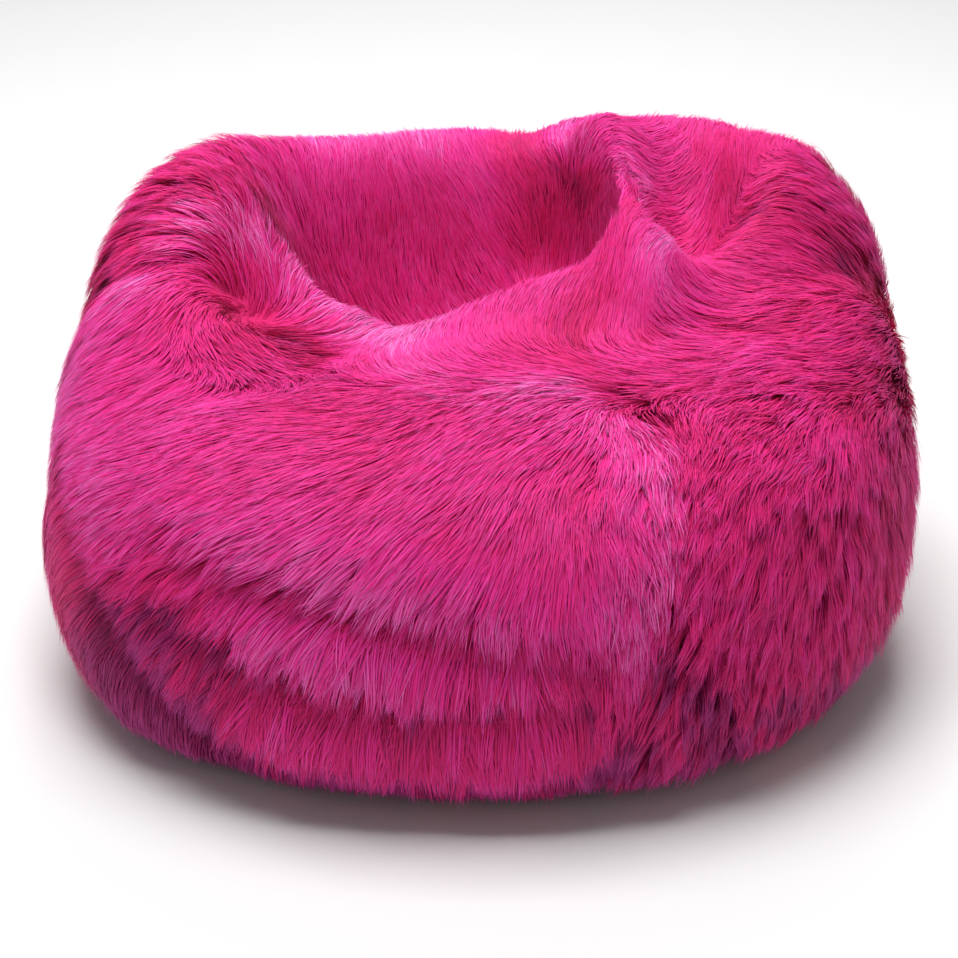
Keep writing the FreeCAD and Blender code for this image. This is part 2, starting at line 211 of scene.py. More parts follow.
def tangents(angle, way):
    """How the bare surface moves per radian of angle and per unit of way, by small steps."""
    per_angle = bare_point(angle + SMALL_STEP, way) - bare_point(angle - SMALL_STEP, way)
    low, high = np.maximum(way - SMALL_STEP, 0.0), way + SMALL_STEP
    per_way = (bare_point(angle, high) - bare_point(angle, low)) / (high - low)[..., None]
    return per_angle / (2.0 * SMALL_STEP), per_way


def facing(angle, way):
    """Unit normal of the bare surface, outwards."""
    per_angle, per_way = tangents(angle, way)
    return unit(np.cross(per_angle, per_way))


# ---------------------------------------------------------------- folds in the cover

# Each fold is a line in space that the cloth is pressed in along (or raised along, where the
# depth is negative): its points, its depth and its width.
FOLDS = {
    "upper_tier": ([(-.30, -.32, .30), (-.22, -.36, .275), (-.12, -.40, .262),
                    (-.02, -.41, .24), (.10, -.41, .222)], .019, .022),
    "upper_tier_swell": ([(-.25, -.33, .325), (-.10, -.385, .305), (.07, -.39, .275)], -.010, .032),
    "middle_tier": ([(-.31, -.34, .235), (-.26, -.362, .217), (-.17, -.40, .18),
                     (-.06, -.417, .165), (.09, -.415, .175)], .026, .024),
    "middle_tier_swell": ([(-.20, -.385, .225), (-.05, -.41, .205), (.08, -.40, .20)], -.010, .026),
    "lower_tier": ([(-.26, -.35, .085), (-.20, -.385, .078), (-.10, -.40, .070),
                    (.07, -.408, .080), (.15, -.38, .095)], .026, .025),
    "lower_tier_swell": ([(-.22, -.385, .130), (-.08, -.41, .120), (.06, -.41, .125)], -.009, .024),
    "side_roll_valley": ([(-.43, -.16, .29), (-.396, -.246, .239), (-.352, -.307, .19),
                          (-.307, -.342, .133), (-.241, -.371, .085)], .032, .028),
    "side_roll": ([(-.44, -.10, .19), (-.40, -.19, .14), (-.345, -.26, .09)], -.012, .040),
    "left_seam_crease": ([(-.40, .08, .40), (-.33, .049, .423), (-.27, .055, .41)], .016, .022),
    "left_lobe_crease": ([(-.34, .13, .47), (-.27, .105, .474)], .008, .014),
    "left_lobe_dent": ([(-.29, .22, .48), (-.23, .20, .48)], .007, .014),
    "pit_crease": ([(-.257, .033, .384), (-.215, -.032, .381), (-.186, -.082, .377)], .014, .022),
    "back_seam_crease": ([(.06, .30, .47), (.085, .22, .43), (.10, .16, .37)], .012, .020),
    "arm_crease": ([(.194, -.076, .387), (.276, -.044, .399), (.329, -.058, .395),
                    (.387, .026, .412), (.425, .06, .398)], .014, .018),
    "arm_upper_crease": ([(.27, .07, .47), (.34, .10, .475), (.40, .16, .45)], .009, .016),
    "side_notch": ([(.376, -.146, .346), (.414, -.087, .344), (.455, -.05, .33)], .010, .022),
    "low_right_crease": ([(.18, -.385, .22), (.22, -.365, .15), (.259, -.336, .062)], .017, .024),
    "right_panel_crease": ([(.26, -.30, .31), (.34, -.25, .27), (.42, -.16, .24)], .010, .024),
    "right_low_crease": ([(.30, -.31, .13), (.38, -.22, .10), (.43, -.10, .09)], .016, .026),
    "back_upper_tier": ([(.30, .33, .30), (.10, .41, .28), (-.12, .41, .27), (-.33, .31, .29)],
                        .014, .022),
    "back_lower_tier": ([(.30, .34, .12), (.08, .41, .10), (-.14, .41, .11), (-.32, .32, .12)],
                        .018, .024),
    "left_side_crease": ([(-.45, .10, .22), (-.42, .22, .17), (-.33, .32, .15)], .014, .024),
    "right_side_crease": ([(.455, .06, .25), (.43, .18, .20), (.36, .28, .18)], .014, .024),
}


def line_distance(points, path):
    """Shortest distance from each point to a line through the path's points."""
    nearest = np.full(points.shape[:-1], np.inf)
    for start, end in zip(np.array(path[:-1]), np.array(path[1:])):
        run = end - start
        along = np.clip(((points - start) @ run) / (run @ run), 0.0, 1.0)
        off = np.linalg.norm(points - start - along[..., None] * run, axis=-1)
        nearest = np.minimum(nearest, off)
    return nearest


def seam_distance(angle, way):
    """Distance along the surface to the nearest seam."""
    reach = np.maximum(section(way)[0], 0.02) * outline(angle)
    nearest = np.full(np.shape(angle), np.inf)
    for seam in SEAMS:
        turn = angle - seam_angle(seam, way)
        turn = (turn + np.pi) % (2.0 * np.pi) - np.pi
        nearest = np.minimum(nearest, np.abs(turn) * reach)
    return nearest


def relief(points, angle, way):
    """Height of the cover over the bare surface: minus each fold's depth times a bell curve
    of the distance to its line, minus the seams' dip, plus soft lumps from three crossed waves."""
    height = -SEAM_DEPTH * np.exp(-((seam_distance(angle, way) / SEAM_SPREAD) ** 2))
    for path, depth, width in FOLDS.values():
        height = height - depth * np.exp(-((line_distance(points, path) / width) ** 2))
    x, y, z = points[..., 0], points[..., 1], points[..., 2]
    lumps = np.sin(41.0 * x + 13.0 * z) * np.sin(37.0 * y - 29.0 * z + 0.7)
    lumps = lumps + 0.6 * np.sin(67.0 * x - 53.0 * y + 31.0 * z + 2.0)
    return height + LUMP_HEIGHT * lumps


def cover_point(angle, way, under):
    """A place on the cover, under it by a depth that is measured along the bare normal."""
    bare = bare_point(angle, way)
    height = relief(bare, angle, way) - under
    return bare + facing(angle, way) * height[..., None]


# ---------------------------------------------------------------- meshes


def put_mesh(name, points, faces, corner_uv=None, smooth_faces=True, normals=None):
    """A mesh object from points and a list of face arrays, all of one size within an array,
    with its points' own shading normals where they are given."""
    mesh = bpy.data.meshes.new(name)
    mesh.vertices.add(len(points))
    mesh.vertices.foreach_set("co", np.ascontiguousarray(points, np.float32).ravel())
    corners = np.concatenate([block.ravel() for block in faces])
    totals = np.concatenate([np.full(len(block), block.shape[1]) for block in faces])
    starts = np.concatenate([[0], np.cumsum(totals)[:-1]])
    mesh.loops.add(len(corners))
    mesh.loops.foreach_set("vertex_index", corners.astype(np.int32))
    mesh.polygons.add(len(totals))
    mesh.polygons.foreach_set("loop_start", starts.astype(np.int32))
    mesh.polygons.foreach_set("use_smooth", np.full(len(totals), smooth_faces))
    if corner_uv is not None:
        layer = mesh.uv_layers.new(name="OFBake")
        layer.data.foreach_set("uv", corner_uv[corners].astype(np.float32).ravel())
    mesh.update(calc_edges=True)
    mesh.validate()
    if normals is not None:
        own = mesh.attributes.new("custom_normal", "FLOAT_VECTOR", "POINT")
        own.data.foreach_set("vector", np.ascontiguousarray(normals, np.float32).ravel())
    piece = bpy.data.objects.new(name, mesh)
    bpy.context.scene.collection.objects.link(piece)
    return piece


def shell(name, outer, inner):
    """A closed sheet: the outer grid of points, the inner one turned round, and a strip of
    faces along the four edges that joins them."""
    rows, columns = outer.shape[:2]
    count = rows * columns
    index = np.arange(count).reshape(rows, columns)
    outside = np.stack([index[:-1, :-1], index[1:, :-1], index[1:, 1:], index[:-1, 1:]], -1)
    outside = outside.reshape(-1, 4)
    inside = outside[:, ::-1] + count
    edge = np.concatenate([index[:, 0], index[-1, 1:], index[-2::-1, -1], index[0, -2:0:-1]])
    following = np.roll(edge, -1)
    strip = np.stack([following, edge, edge + count, following + count], -1)
    points = np.concatenate([outer.reshape(-1, 3), inner.reshape(-1, 3)])
    return put_mesh(name, points, [outside, inside, strip])


def closed_form(name, rings, bottom, top):
    """A closed solid from rings of points, lowest first, with a fan of faces at each end."""
    levels, around = rings.shape[:2]
    index = np.arange(levels * around).reshape(levels, around)
    following = np.roll(index, -1, axis=1)
    walls = np.stack([index[:-1], following[:-1], following[1:], index[1:]], -1).reshape(-1, 4)
    first = np.full(around, levels * around)
    lid = np.stack([index[-1], following[-1], first + 1], -1)
    floor = np.stack([following[0], index[0], first], -1)
    points = np.concatenate([rings.reshape(-1, 3), bottom[None], top[None]])
    return put_mesh(name, points, [walls, np.concatenate([lid, floor])])


def gore_grid(gore, across, along, inset, end=1.0, start=0.004):
    """Angles and ways of a grid over one gore, kept an inset in from its two seams."""
    first, last = GORES[gore]
    way = np.linspace(start, end, along)[None, :]
    share = np.linspace(0.0, 1.0, across)[:, None]
    reach = np.maximum(section(way)[0], LEAST_SHARE) * MEAN_REACH
    low = seam_angle(first, way) + inset / reach
    high = seam_angle(last, way) - inset / reach
    angle = low + (high - low) * share
    return angle, np.broadcast_to(way, angle.shape).copy()


# ---------------------------------------------------------------- materials

WAVES_PER_SCALE = 6.2832
ZIP_DYE = (0.5, 0.03, 0.18)
LINER_TAPE_DYE = (0.78, 0.77, 0.74)
LINER_COIL_DYE = (0.8, 0.79, 0.76)


def new_material(name, roughness, specular=0.3):
    """A material with its shader's plain numbers set. Returns it, its nodes, links and shader."""
    material = bpy.data.materials.new(name)
    material.use_nodes = True
    nodes, links = material.node_tree.nodes, material.node_tree.links
    shader = nodes["Principled BSDF"]
    shader.inputs["Roughness"].default_value = roughness
    shader.inputs["Specular IOR Level"].default_value = specular
    return material, nodes, links, shader


def ramp(nodes, links, factor, stops):
    """The colour that a socket's value picks from a ramp through the (place, colour) stops."""
    node = nodes.new("ShaderNodeValToRGB")
    elements = node.color_ramp.elements
    while len(elements) < len(stops):
        elements.new(0.5)
    for element, (place, colour) in zip(elements, stops):
        element.position = place
        element.color = (*colour, 1.0)
    links.new(factor, node.inputs["Fac"])
    return node.outputs["Color"]


def patches(nodes, links, place, scale, detail):
    """Soft uneven patches from 0 to 1, smaller the larger the scale is."""
    node = nodes.new("ShaderNodeTexNoise")
    node.inputs["Scale"].default_value = scale
    node.inputs["Detail"].default_value = detail
    links.new(place.outputs["Object"], node.inputs["Vector"])
    return node.outputs["Fac"]


def add_bump(nodes, links, shader, height, strength, distance, sunk=False):
    """Raises the shader's surface by a pattern times the distance, or sinks it by as much."""
    bump = nodes.new("ShaderNodeBump")
    bump.invert = sunk
    bump.inputs["Strength"].default_value = strength
    bump.inputs["Distance"].default_value = distance
    links.new(height, bump.inputs["Height"])
    links.new(bump.outputs["Normal"], shader.inputs["Normal"])


def blend_colours(nodes, links, factor, first, second, mode="MIX"):
    """A colour mix node; each of factor, first and second is a socket or a plain value."""
    node = nodes.new("ShaderNodeMix")
    node.data_type = "RGBA"
    node.blend_type = mode
    for place, value in ((0, factor), (6, first), (7, second)):
        if isinstance(value, bpy.types.NodeSocket):
            links.new(value, node.inputs[place])
        elif place == 0:
            node.inputs[place].default_value = value
        else:
            node.inputs[place].default_value = (*value, 1.0)
    return node.outputs[2]


def share_between(nodes, links, socket, low, high):
    """0 where the socket's value is low, 1 where it is high, straight in between."""
    node = nodes.new("ShaderNodeMapRange")
    node.inputs["From Min"].default_value = low
    node.inputs["From Max"].default_value = high
    links.new(socket, node.inputs["Value"])
    return node.outputs["Result"]


def times(colour, factor):
    """A colour with each part multiplied by the factor."""
    return tuple(min(part * factor, 1.0) for part in colour)


def pile_material(colours):
    """Fur fibres: darker at the root, painted shade deep in the pile, the dyed colour in the
    middle and pale at the tip, a painted highlight. The piece's UV map says how far along the
    fibre a place is (V) and how bright the lock is (U): from a painted shadow through a shaded
    and a lit copy of the dye to a painted highlight."""
    material, nodes, links, shader = new_material("long_pile_fibre", 0.6, 0.12)
    shader.inputs["Sheen Weight"].default_value = 0.10
    shader.inputs["Sheen Roughness"].default_value = 0.45
    shader.inputs["Sheen Tint"].default_value = (*colours.sheen, 1.0)
    place = nodes.new("ShaderNodeUVMap")
    place.uv_map = "OFBake"
    parts = nodes.new("ShaderNodeSeparateXYZ")
    links.new(place.outputs["UV"], parts.inputs["Vector"])
    main, tip, root = tuple(colours.pile), tuple(colours.tips), tuple(colours.roots)
    shaded_pile, painted_highlight, shadow = tuple(colours.shaded_pile), tuple(colours.painted_highlight), tuple(colours.shadow)
    # Painted light and shade along U: a painted shadow at 0, a shaded copy of the dye at 0.2, the
    # lit dye at 0.5 and a painted highlight at 1.
    shades = (
        (0.0, [(0.0, times(shadow, 0.4)), (0.55, shadow), (1.0, times(tip, 0.6))]),
        (0.2, [(0.0, times(root, 0.6)), (0.35, times(shaded_pile, 0.85)), (0.80, shaded_pile),
               (1.0, times(main, 1.05))]),
        (0.5, [(0.0, root), (0.30, main), (0.72, times(main, 1.08)), (1.0, tip)]),
        (1.0, [(0.0, main), (0.35, tip), (1.0, painted_highlight)]),
    )
    darker, colour = 0.0, None
    for brightness, stops in shades:
        shade = ramp(nodes, links, parts.outputs["Y"], stops)
        if colour is None:
            colour = shade
            continue
        change = share_between(nodes, links, parts.outputs["X"], darker, brightness)
        colour = blend_colours(nodes, links, change, colour, shade)
        darker = brightness
    links.new(colour, shader.inputs["Base Color"])
    return material


def cloth_material(name, colour, dark_share, threads_per_metre):
    """Woven or knitted cloth: two crossed sets of threads as a small bump and a slight change
    of colour, over a soft uneven tone."""
    material, nodes, links, shader = new_material(name, 0.85, 0.2)
    shader.inputs["Sheen Weight"].default_value = 0.2
    place = nodes.new("ShaderNodeTexCoord")
    threads = []
    for direction in ("X", "Y"):
        wave = nodes.new("ShaderNodeTexWave")
        wave.bands_direction = direction
        wave.inputs["Scale"].default_value = threads_per_metre / WAVES_PER_SCALE
        wave.inputs["Distortion"].default_value = 0.6
        links.new(place.outputs["Object"], wave.inputs["Vector"])
        threads.append(wave.outputs["Fac"])
    cross = nodes.new("ShaderNodeMath")
    cross.operation = "MAXIMUM"
    links.new(threads[0], cross.inputs[0])
    links.new(threads[1], cross.inputs[1])
    woven = blend_colours(nodes, links, cross.outputs[0], times(colour, dark_share), colour)
    uneven = patches(nodes, links, place, 14.0, 5.0)
    tone = ramp(nodes, links, uneven, [(0.3, (0.78, 0.78, 0.78)), (0.7, (1.0, 1.0, 1.0))])
    finished = blend_colours(nodes, links, 1.0, woven, tone, "MULTIPLY")
    links.new(finished, shader.inputs["Base Color"])
    add_bump(nodes, links, shader, cross.outputs[0], 0.5, 0.0006)
    return material


def bead_material(colour):
    """Foam beads packed side by side: rounded cells, with painted shade darkening the gaps between
    them.
    """
    material, nodes, links, shader = new_material("foam_beads", 0.6)
    place = nodes.new("ShaderNodeTexCoord")
    cells = nodes.new("ShaderNodeTexVoronoi")
    cells.inputs["Scale"].default_value = 240.0
    links.new(place.outputs["Object"], cells.inputs["Vector"])
    from_middle = cells.outputs["Distance"]
    # Painted shade: darker towards each cell's edge, in the gaps between the beads.
    tone = ramp(nodes, links, from_middle, [(0.0, colour), (0.62, times(colour, 0.92)),
                                            (0.9, times(colour, 0.45))])
    links.new(tone, shader.inputs["Base Color"])
    add_bump(nodes, links, shader, from_middle, 0.8, 0.0015, sunk=True)
    return material


def zip_metal_material():
    """Grey lacquered zinc with brighter rubbed patches, a little uneven to the touch."""
    material, nodes, links, shader = new_material("zip_lacquered_metal", 0.38, 0.5)
    shader.inputs["Metallic"].default_value = 0.75
    place = nodes.new("ShaderNodeTexCoord")
    rubbed = patches(nodes, links, place, 260.0, 6.0)
    tone = ramp(nodes, links, rubbed, [(0.35, (0.22, 0.22, 0.23)), (0.6, (0.42, 0.42, 0.43)),
                                       (0.8, (0.62, 0.62, 0.62))])
    links.new(tone, shader.inputs["Base Color"])
    add_bump(nodes, links, shader, rubbed, 0.15, 0.0002)
    return material


def coil_material(name, colour):
    """Smooth nylon or thread, with darker and lighter patches in its dye."""
    material, nodes, links, shader = new_material(name, 0.32, 0.5)
    place = nodes.new("ShaderNodeTexCoord")
    dyed = patches(nodes, links, place, 90.0, 2.0)
    tone = ramp(nodes, links, dyed, [(0.35, times(colour, 0.7)), (0.7, colour)])
    links.new(tone, shader.inputs["Base Color"])
    return material


def paint(piece, material):
    """The piece's one material."""
    piece.data.materials.clear()
    piece.data.materials.append(material)


def finish_piece(piece, material, body="bag"):
    """Gives a new piece its material and the body it rides on."""
    paint(piece, material)
    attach(piece, body)
    return piece


# ---------------------------------------------------------------- sizes and colours


def length_setting(name, description, default, least, most):
    """A setting for a length in metres."""
    return FloatProperty(name=name, description=description, default=default,
                         min=least, max=most, unit="LENGTH")


def colour_setting(name, description, default):
    """A setting for a colour."""
    return FloatVectorProperty(name=name, description=description, default=default,
                               subtype="COLOR", size=3, min=0.0, max=1.0)


class BeanBagSizes(bpy.types.PropertyGroup):
    """Sizes of the cover and of its pile."""

    pile_length: length_setting(
        "Pile length", "Length of a fibre lying on the top of the bag", 0.062, 0.02, 0.09)
    pile_lift: length_setting(
        "Pile lift", "Height of a lock's tip over the cover's backing", 0.0135, 0.006, 0.05)
    lock_spacing: length_setting(
        "Lock spacing", "Distance between the roots of two locks", 0.0102, 0.007, 0.03)
    fibres_per_lock: IntProperty(
        name="Fibres per lock", description="Number of ribbons of fibre in one lock",
        default=17, min=4, max=30)
    fibre_width: length_setting(
        "Fibre width", "Width of one ribbon of fibre at its widest", 0.0012, 0.0006, 0.004)
    backing_depth: length_setting(
        "Backing depth", "Depth of the knitted backing under the cover's face",
        0.009, 0.004, 0.02)
    backing_thickness: length_setting(
        "Backing thickness", "Thickness of the knitted backing", 0.003, 0.001, 0.006)


class BeanBagColours(bpy.types.PropertyGroup):
    """Colours of the pile with its painted shade and highlight, the cloths and the studio floor."""

    pile: colour_setting("Pile", "Dyed colour of the middle of a fibre", (0.88, 0.030, 0.330))
    # Painted shade: a darker, redder copy of the dye for the shaded parts of the pile.
    shaded_pile: colour_setting(
        "Deep", "Colour of the fibre in the redder, deeper parts of the pile",
        (0.86, 0.024, 0.190))
    # The pale tip is a painted highlight on the fibre's end.
    tips: colour_setting("Tips", "Colour of the fibre's tip", (0.93, 0.13, 0.60))
    # Painted highlight: the pale lavender tips where light catches ridges, crests and seams.
    painted_highlight: colour_setting(
        "Frost", "Colour of the tips where the pile is frosted", (1.0, 0.36, 0.80))
    # The redder root is painted shade deep in the pile; the knitted backing is dyed in it too.
    roots: colour_setting("Roots", "Colour of the fibre's root", (0.88, 0.018, 0.200))
    shadow: colour_setting(
        "Shadow", "Colour of the fibres down in the folds and near the floor",
        (0.30, 0.010, 0.12))
    sheen: colour_setting("Sheen", "Tint of the soft shine on the fibres", (1.0, 0.50, 0.88))
    base_cloth: colour_setting("Base cloth", "Colour of the woven base panel", (0.42, 0.030, 0.15))
    liner_cloth: colour_setting("Liner cloth", "Colour of the inner liner", (0.82, 0.81, 0.78))
    beads: colour_setting("Beads", "Colour of the foam beads", (0.90, 0.90, 0.89))
    floor: colour_setting("Floor", "Colour of the studio floor", (0.92, 0.92, 0.92))


# ---------------------------------------------------------------- the comb of the pile

# Each stroke of the comb: where it is on the bag (angle in degrees, way), and which way it lays
# the pile (degrees: 0 straight down to the base edge, 90 towards a larger angle, 180 up to the
# cap).
COMB = {
    "left lobe": [(167, .50, -5), (175, .53, 5), (150, .52, 0), (160, .58, 10)],
    "left arm": [(184, .47, 10), (197, .44, -30), (210, .40, -50), (214, .34, -42),
                 (190, .52, 65), (206, .54, 88), (208, .48, -10)],
    "left front": [(227, .46, -34), (233, .40, -42), (233, .30, -32), (232, .20, -20)],
    "arm ridge": [(170, .57, -70), (175, .61, -120), (205, .70, -178), (223, .72, -175)],
    "pit": [(209, .62, 82), (207, .57, 76)],
    "back wall": [(131, .58, -28), (105, .58, -11), (86, .64, -6), (120, .74, -35), (99, .84, -3)],
    "right inner ridge": [(53, .84, -29), (318, .86, 135), (340, .85, 68), (303, .76, 144)],
    "right hollow": [(27, .57, 52), (40, .62, 30)],
    "front lip": [(251, .75, -176), (279, .80, 160), (241, .69, -150)],
    "under the lip": [(250, .655, -90), (265, .66, -85), (280, .66, -95), (293, .63, -95),
                      (262, .60, -10), (282, .60, -20)],
    "front shoulder": [(250, .54, -23), (271, .51, -32), (285, .48, -33), (241, .47, -45)],
    "front": [(247, .40, -45), (262, .40, -35), (277, .40, -13), (288, .40, 6),
              (248, .29, -20), (263, .29, -5), (276, .30, 10), (285, .32, 15),
              (250, .18, -10), (275, .18, 8)],
    "right crest": [(318, .52, -70), (330, .50, -80), (342, .47, -85), (352, .45, -95)],
    "right arm": [(7, .51, -172), (356, .59, -163), (0, .49, -169), (332, .64, -109)],
    "right shoulder": [(318, .58, -104), (336, .52, -139), (349, .46, -115)],
    "front seam": [(298, .50, 13), (305, .47, -54)],
    "right panel": [(317, .45, -54), (331, .42, -47), (298, .39, -22), (312, .37, -31),
                    (327, .33, -6), (296, .29, -34), (310, .26, -20), (345, .30, 10)],
}
STROKE_REACH = 0.055
PLAIN_COMB_WEIGHT = 0.012


def stroke_table():
    """The comb's strokes as arrays: their places in space and their headings."""
    strokes = np.array([stroke for group in COMB.values() for stroke in group], float)
    places = bare_point(np.radians(strokes[:, 0]), strokes[:, 1])
    return places, np.radians(strokes[:, 2])


def heading(points, strokes):
    """Which way the pile lies at each point: the strokes' directions, each weighed by a bell
    curve of its distance, added to a little of straight down."""
    places, headings = strokes
    down = np.full(points.shape[:-1], PLAIN_COMB_WEIGHT)
    across = np.zeros(points.shape[:-1])
    for place, turn in zip(places, headings):
        away = np.sum((points - place) ** 2, -1)
        weight = np.exp(-away / STROKE_REACH ** 2)
        down = down + weight * np.cos(turn)
        across = across + weight * np.sin(turn)
    return np.arctan2(across, down)


# Where the pile is matted into clumps (1) or hangs straight and smooth (0), by places in
# space: centre, reach, amount.
MATTED = [
    ((.33, -.28, .20), .20, .70), ((.40, .05, .42), .06, .12), ((.20, -.38, .10), .12, .70),
    ((-.28, .16, .47), .10, .75), ((-.20, -.38, .15), .16, .35), ((.42, .10, .20), .18, .45),
    ((.10, .40, .20), .25, .45), ((-.40, .15, .20), .20, .45), ((-.05, -.42, .20), .16, .30),
    ((-.32, -.33, .25), .12, .25), ((.15, -.33, .30), .07, .40),
]
# Painted light and shade by region, for how the light falls on the bag: where the locks are
# painted brighter (above 0) or darker (below 0): centre, reach, amount.
PAINTED_LIGHT_AND_SHADE = [
    ((.34, -.28, .22), .20, -.12), ((.30, -.30, .08), .14, .10), ((-.03, .24, .38), .12, -.06),
    ((-.24, .0, .38), .055, -.20), ((.25, .18, .42), .07, -.16), ((-.31, .17, .46), .08, -.15),
    ((.34, .05, .44), .12, -.08), ((-.12, -.20, .37), .09, -.06), ((.106, .206, .41), .03, -.25),
    ((-.36, -.30, .13), .13, -.28), ((-.30, -.35, .05), .12, -.12), ((.02, -.04, .385), .07, -.06),
]
# Lines where the fibres' tips get a painted highlight, on ridges, crests, seams and tier
# edges where light catches the pile: their points, reach and amount.
HIGHLIGHT_LINES = {
    "arm ridge": ([(-.285, .085, .45), (-.235, .060, .41), (-.170, .005, .372),
                   (-.095, -.070, .371)], .034, 2.0),
    "front lip": ([(-.053, -.044, .374), (.051, -.02, .398), (.097, -.002, .41)], .030, .45),
    "under the lip": ([(-.12, -.10, .372), (.018, -.175, .374), (.11, -.15, .374)], .026, .60),
    "right ridge": ([(.138, .184, .476), (.185, .053, .455), (.173, -.028, .413)], .018, .60),
    "front seam": ([(.124, -.163, .374), (.174, -.276, .361), (.19, -.33, .328),
                    (.17, -.368, .288), (.143, -.394, .239)], .036, .80),
    "back seam": ([(.084, .313, .478), (.094, .25, .472)], .035, 1.0),
    "left seam": ([(-.395, .06, .403), (-.331, .038, .419), (-.277, .054, .411)], .022, 1.3),
    "right arm ends": ([(.235, .183, .413), (.191, .002, .434), (.212, -.023, .399),
                        (.248, -.056, .388)], .022, .45),
    "back rim": ([(-.166, .285, .452), (-.05, .301, .448)], .036, .90),
    "back wall": ([(.005, .258, .402), (.040, .250, .405)], .020, .50),
    "far left": ([(-.424, .012, .349), (-.418, -.093, .317), (-.381, -.212, .305),
                  (-.344, -.284, .29)], .060, .50),
    "upper tier": ([(-.27, -.33, .31), (-.163, -.38, .29), (.03, -.41, .265)], .030, .45),
    "middle tier": ([(-.227, -.37, .235), (-.14, -.40, .215), (.04, -.415, .20)], .024, .45),
    "lower tier": ([(-.213, -.385, .14), (-.12, -.405, .12), (.05, -.41, .125)], .024, .40),
}


def spots(points, table):
    """The table's amounts added up, each spread over its reach as a bell curve."""
    total = np.zeros(points.shape[:-1])
    for centre, reach, amount in table:
        away = np.sum((points - np.array(centre)) ** 2, -1)
        total = total + amount * np.exp(-away / reach ** 2)
    return total


# ---------------------------------------------------------------- growing the pile

PATH_POINTS = 4
RIBBON_SHAPE = np.array([0.8, 1.0, 0.78])
TIERS = {"front_left": 3, "front_right": 2, "back_right": 3, "back_left": 3}
FLOOR_CLEARANCE = 0.0006
BAND_GRID = (40, 160)
EVEN_STEPS = (0.7548777, 0.5698403)
SEAM_MARGIN = 0.004
LAST_WAY = 1.08
MOST_TURN = 60
# Where the pile changes: down the seat hollow (way) and close to the floor (height).
HOLLOW_FROM_TO = (0.60, 0.70)
SHORT_UP_TO = 0.09
# Length of a lock: its share at the floor, the parts it loses in the hollow and where it is
# matted, and the least and most of its own share.
LENGTH_AT_FLOOR = 0.35
LENGTH_LOSS = (0.15, 0.26)
LENGTH_VARIES = (0.80, 1.15)
# Height of a lock: its share at the floor, its loss in the hollow, its gain where matted and
# how far it varies, of plain locks and what matting adds.
LIFT_AT_FLOOR = 0.45
LIFT_LOSS = 0.30
LIFT_GAIN = 0.35
LIFT_VARIES = (0.16, 0.30)
FOLD_BRIDGED = 0.50
SAG = 0.22
SAG_FACING = (0.45, -0.35)
# Turns off the comb (radians): of plain locks and what matting adds, and the slow swirl.
TURN_VARIES = (0.035, 0.31)
SWIRL = 0.10
# Ribbons: how far round the root they start and how much they draw in (plain, and by
# matting), and the least and most of their draw, their extent and their width.
ROOT_SPREAD = (1.15, 0.25)
DRAW_IN = (0.12, 0.72)
DRAW_IN_POWER = 1.3
DRAW_IN_VARIES = (0.6, 1.1)
EXTENT_VARIES = (0.72, 1.06)
WIDTH_VARIES = (0.65, 1.15)
# Ribbons: strays off their line, a few that fly, their roll and the lean of their shading.
STRAY = 0.0010
FLY_FROM = 0.96
FLY_HEIGHT = 0.004
ROLL = 0.25
LEAN = 0.11
# Brightness of a lock: its middle, the slow waves, the painted shade that a metre of fold
# depth takes and the limit of the painted light on the swells, the painted shade that the floor
# takes and over which heights.
MIDDLE_TONE = 0.42
WAVE_TONE = 0.05
FOLD_PAINTED_SHADE_AND_LIGHT = 13.0
SWELL_PAINTED_LIGHT_LIMIT = 0.005
NEAR_FLOOR_SHADE = 0.34
NEAR_FLOOR_FROM_TO = (0.03, 0.28)
# Painted highlight on the tips: its most, its power, its share of a fibre's brightness and how far
# a fibre's own share varies.
MOST_HIGHLIGHT = 1.6
HIGHLIGHT_POWER = 1.6
HIGHLIGHT_TONE = 0.62
HIGHLIGHT_VARIES = (0.0, 1.15)
LOCK_TONE_VARIES = (0.03, 0.06)
FIBRE_TONE_VARIES = (0.035, 0.045)
TONE_LIMITS = (0.02, 0.98)


def spread_evenly(count, start):
    """Points in the unit square that keep apart: a two-step sequence of golden-ratio kind."""
    number = np.arange(start, start + count)
    return (0.5 + number * EVEN_STEPS[0]) % 1.0, (0.5 + number * EVEN_STEPS[1]) % 1.0


def band_edges(gore, tiers):
    """Ways that split a gore into bands of about equal area, with the running total of its
    area and the ways that the total is given at."""
    angle, way = gore_grid(gore, *BAND_GRID, 0.0, WAY_TO_MIDDLE - 0.01)
    per_angle, per_way = tangents(angle, way)
    area = np.linalg.norm(np.cross(per_angle, per_way), axis=-1)
    wide = angle[-1] - angle[0]
    row_area = area.mean(0) * wide * np.gradient(way[0])
    total = np.cumsum(row_area)
    inside = np.interp(np.linspace(0.0, total[-1], tiers + 1), total, way[0])
    inside[0] = way[0, 0]
    return inside, total, way[0]


def lock_roots(gore, low, high, total, ways, spacing, start):
    """Angles and ways of the roots of the locks in one band, evenly by area."""
    first, last = GORES[gore]
    area_low, area_high = np.interp([low, high], ways, total)
    count = int((area_high - area_low) / spacing ** 2)
    across, along = spread_evenly(count, start)
    way = np.interp(area_low + along * (area_high - area_low), total, ways)
    left, right = seam_angle(first, way), seam_angle(last, way)
    inside = SEAM_MARGIN + (1.0 - 2.0 * SEAM_MARGIN) * across
    return left + (right - left) * inside, way


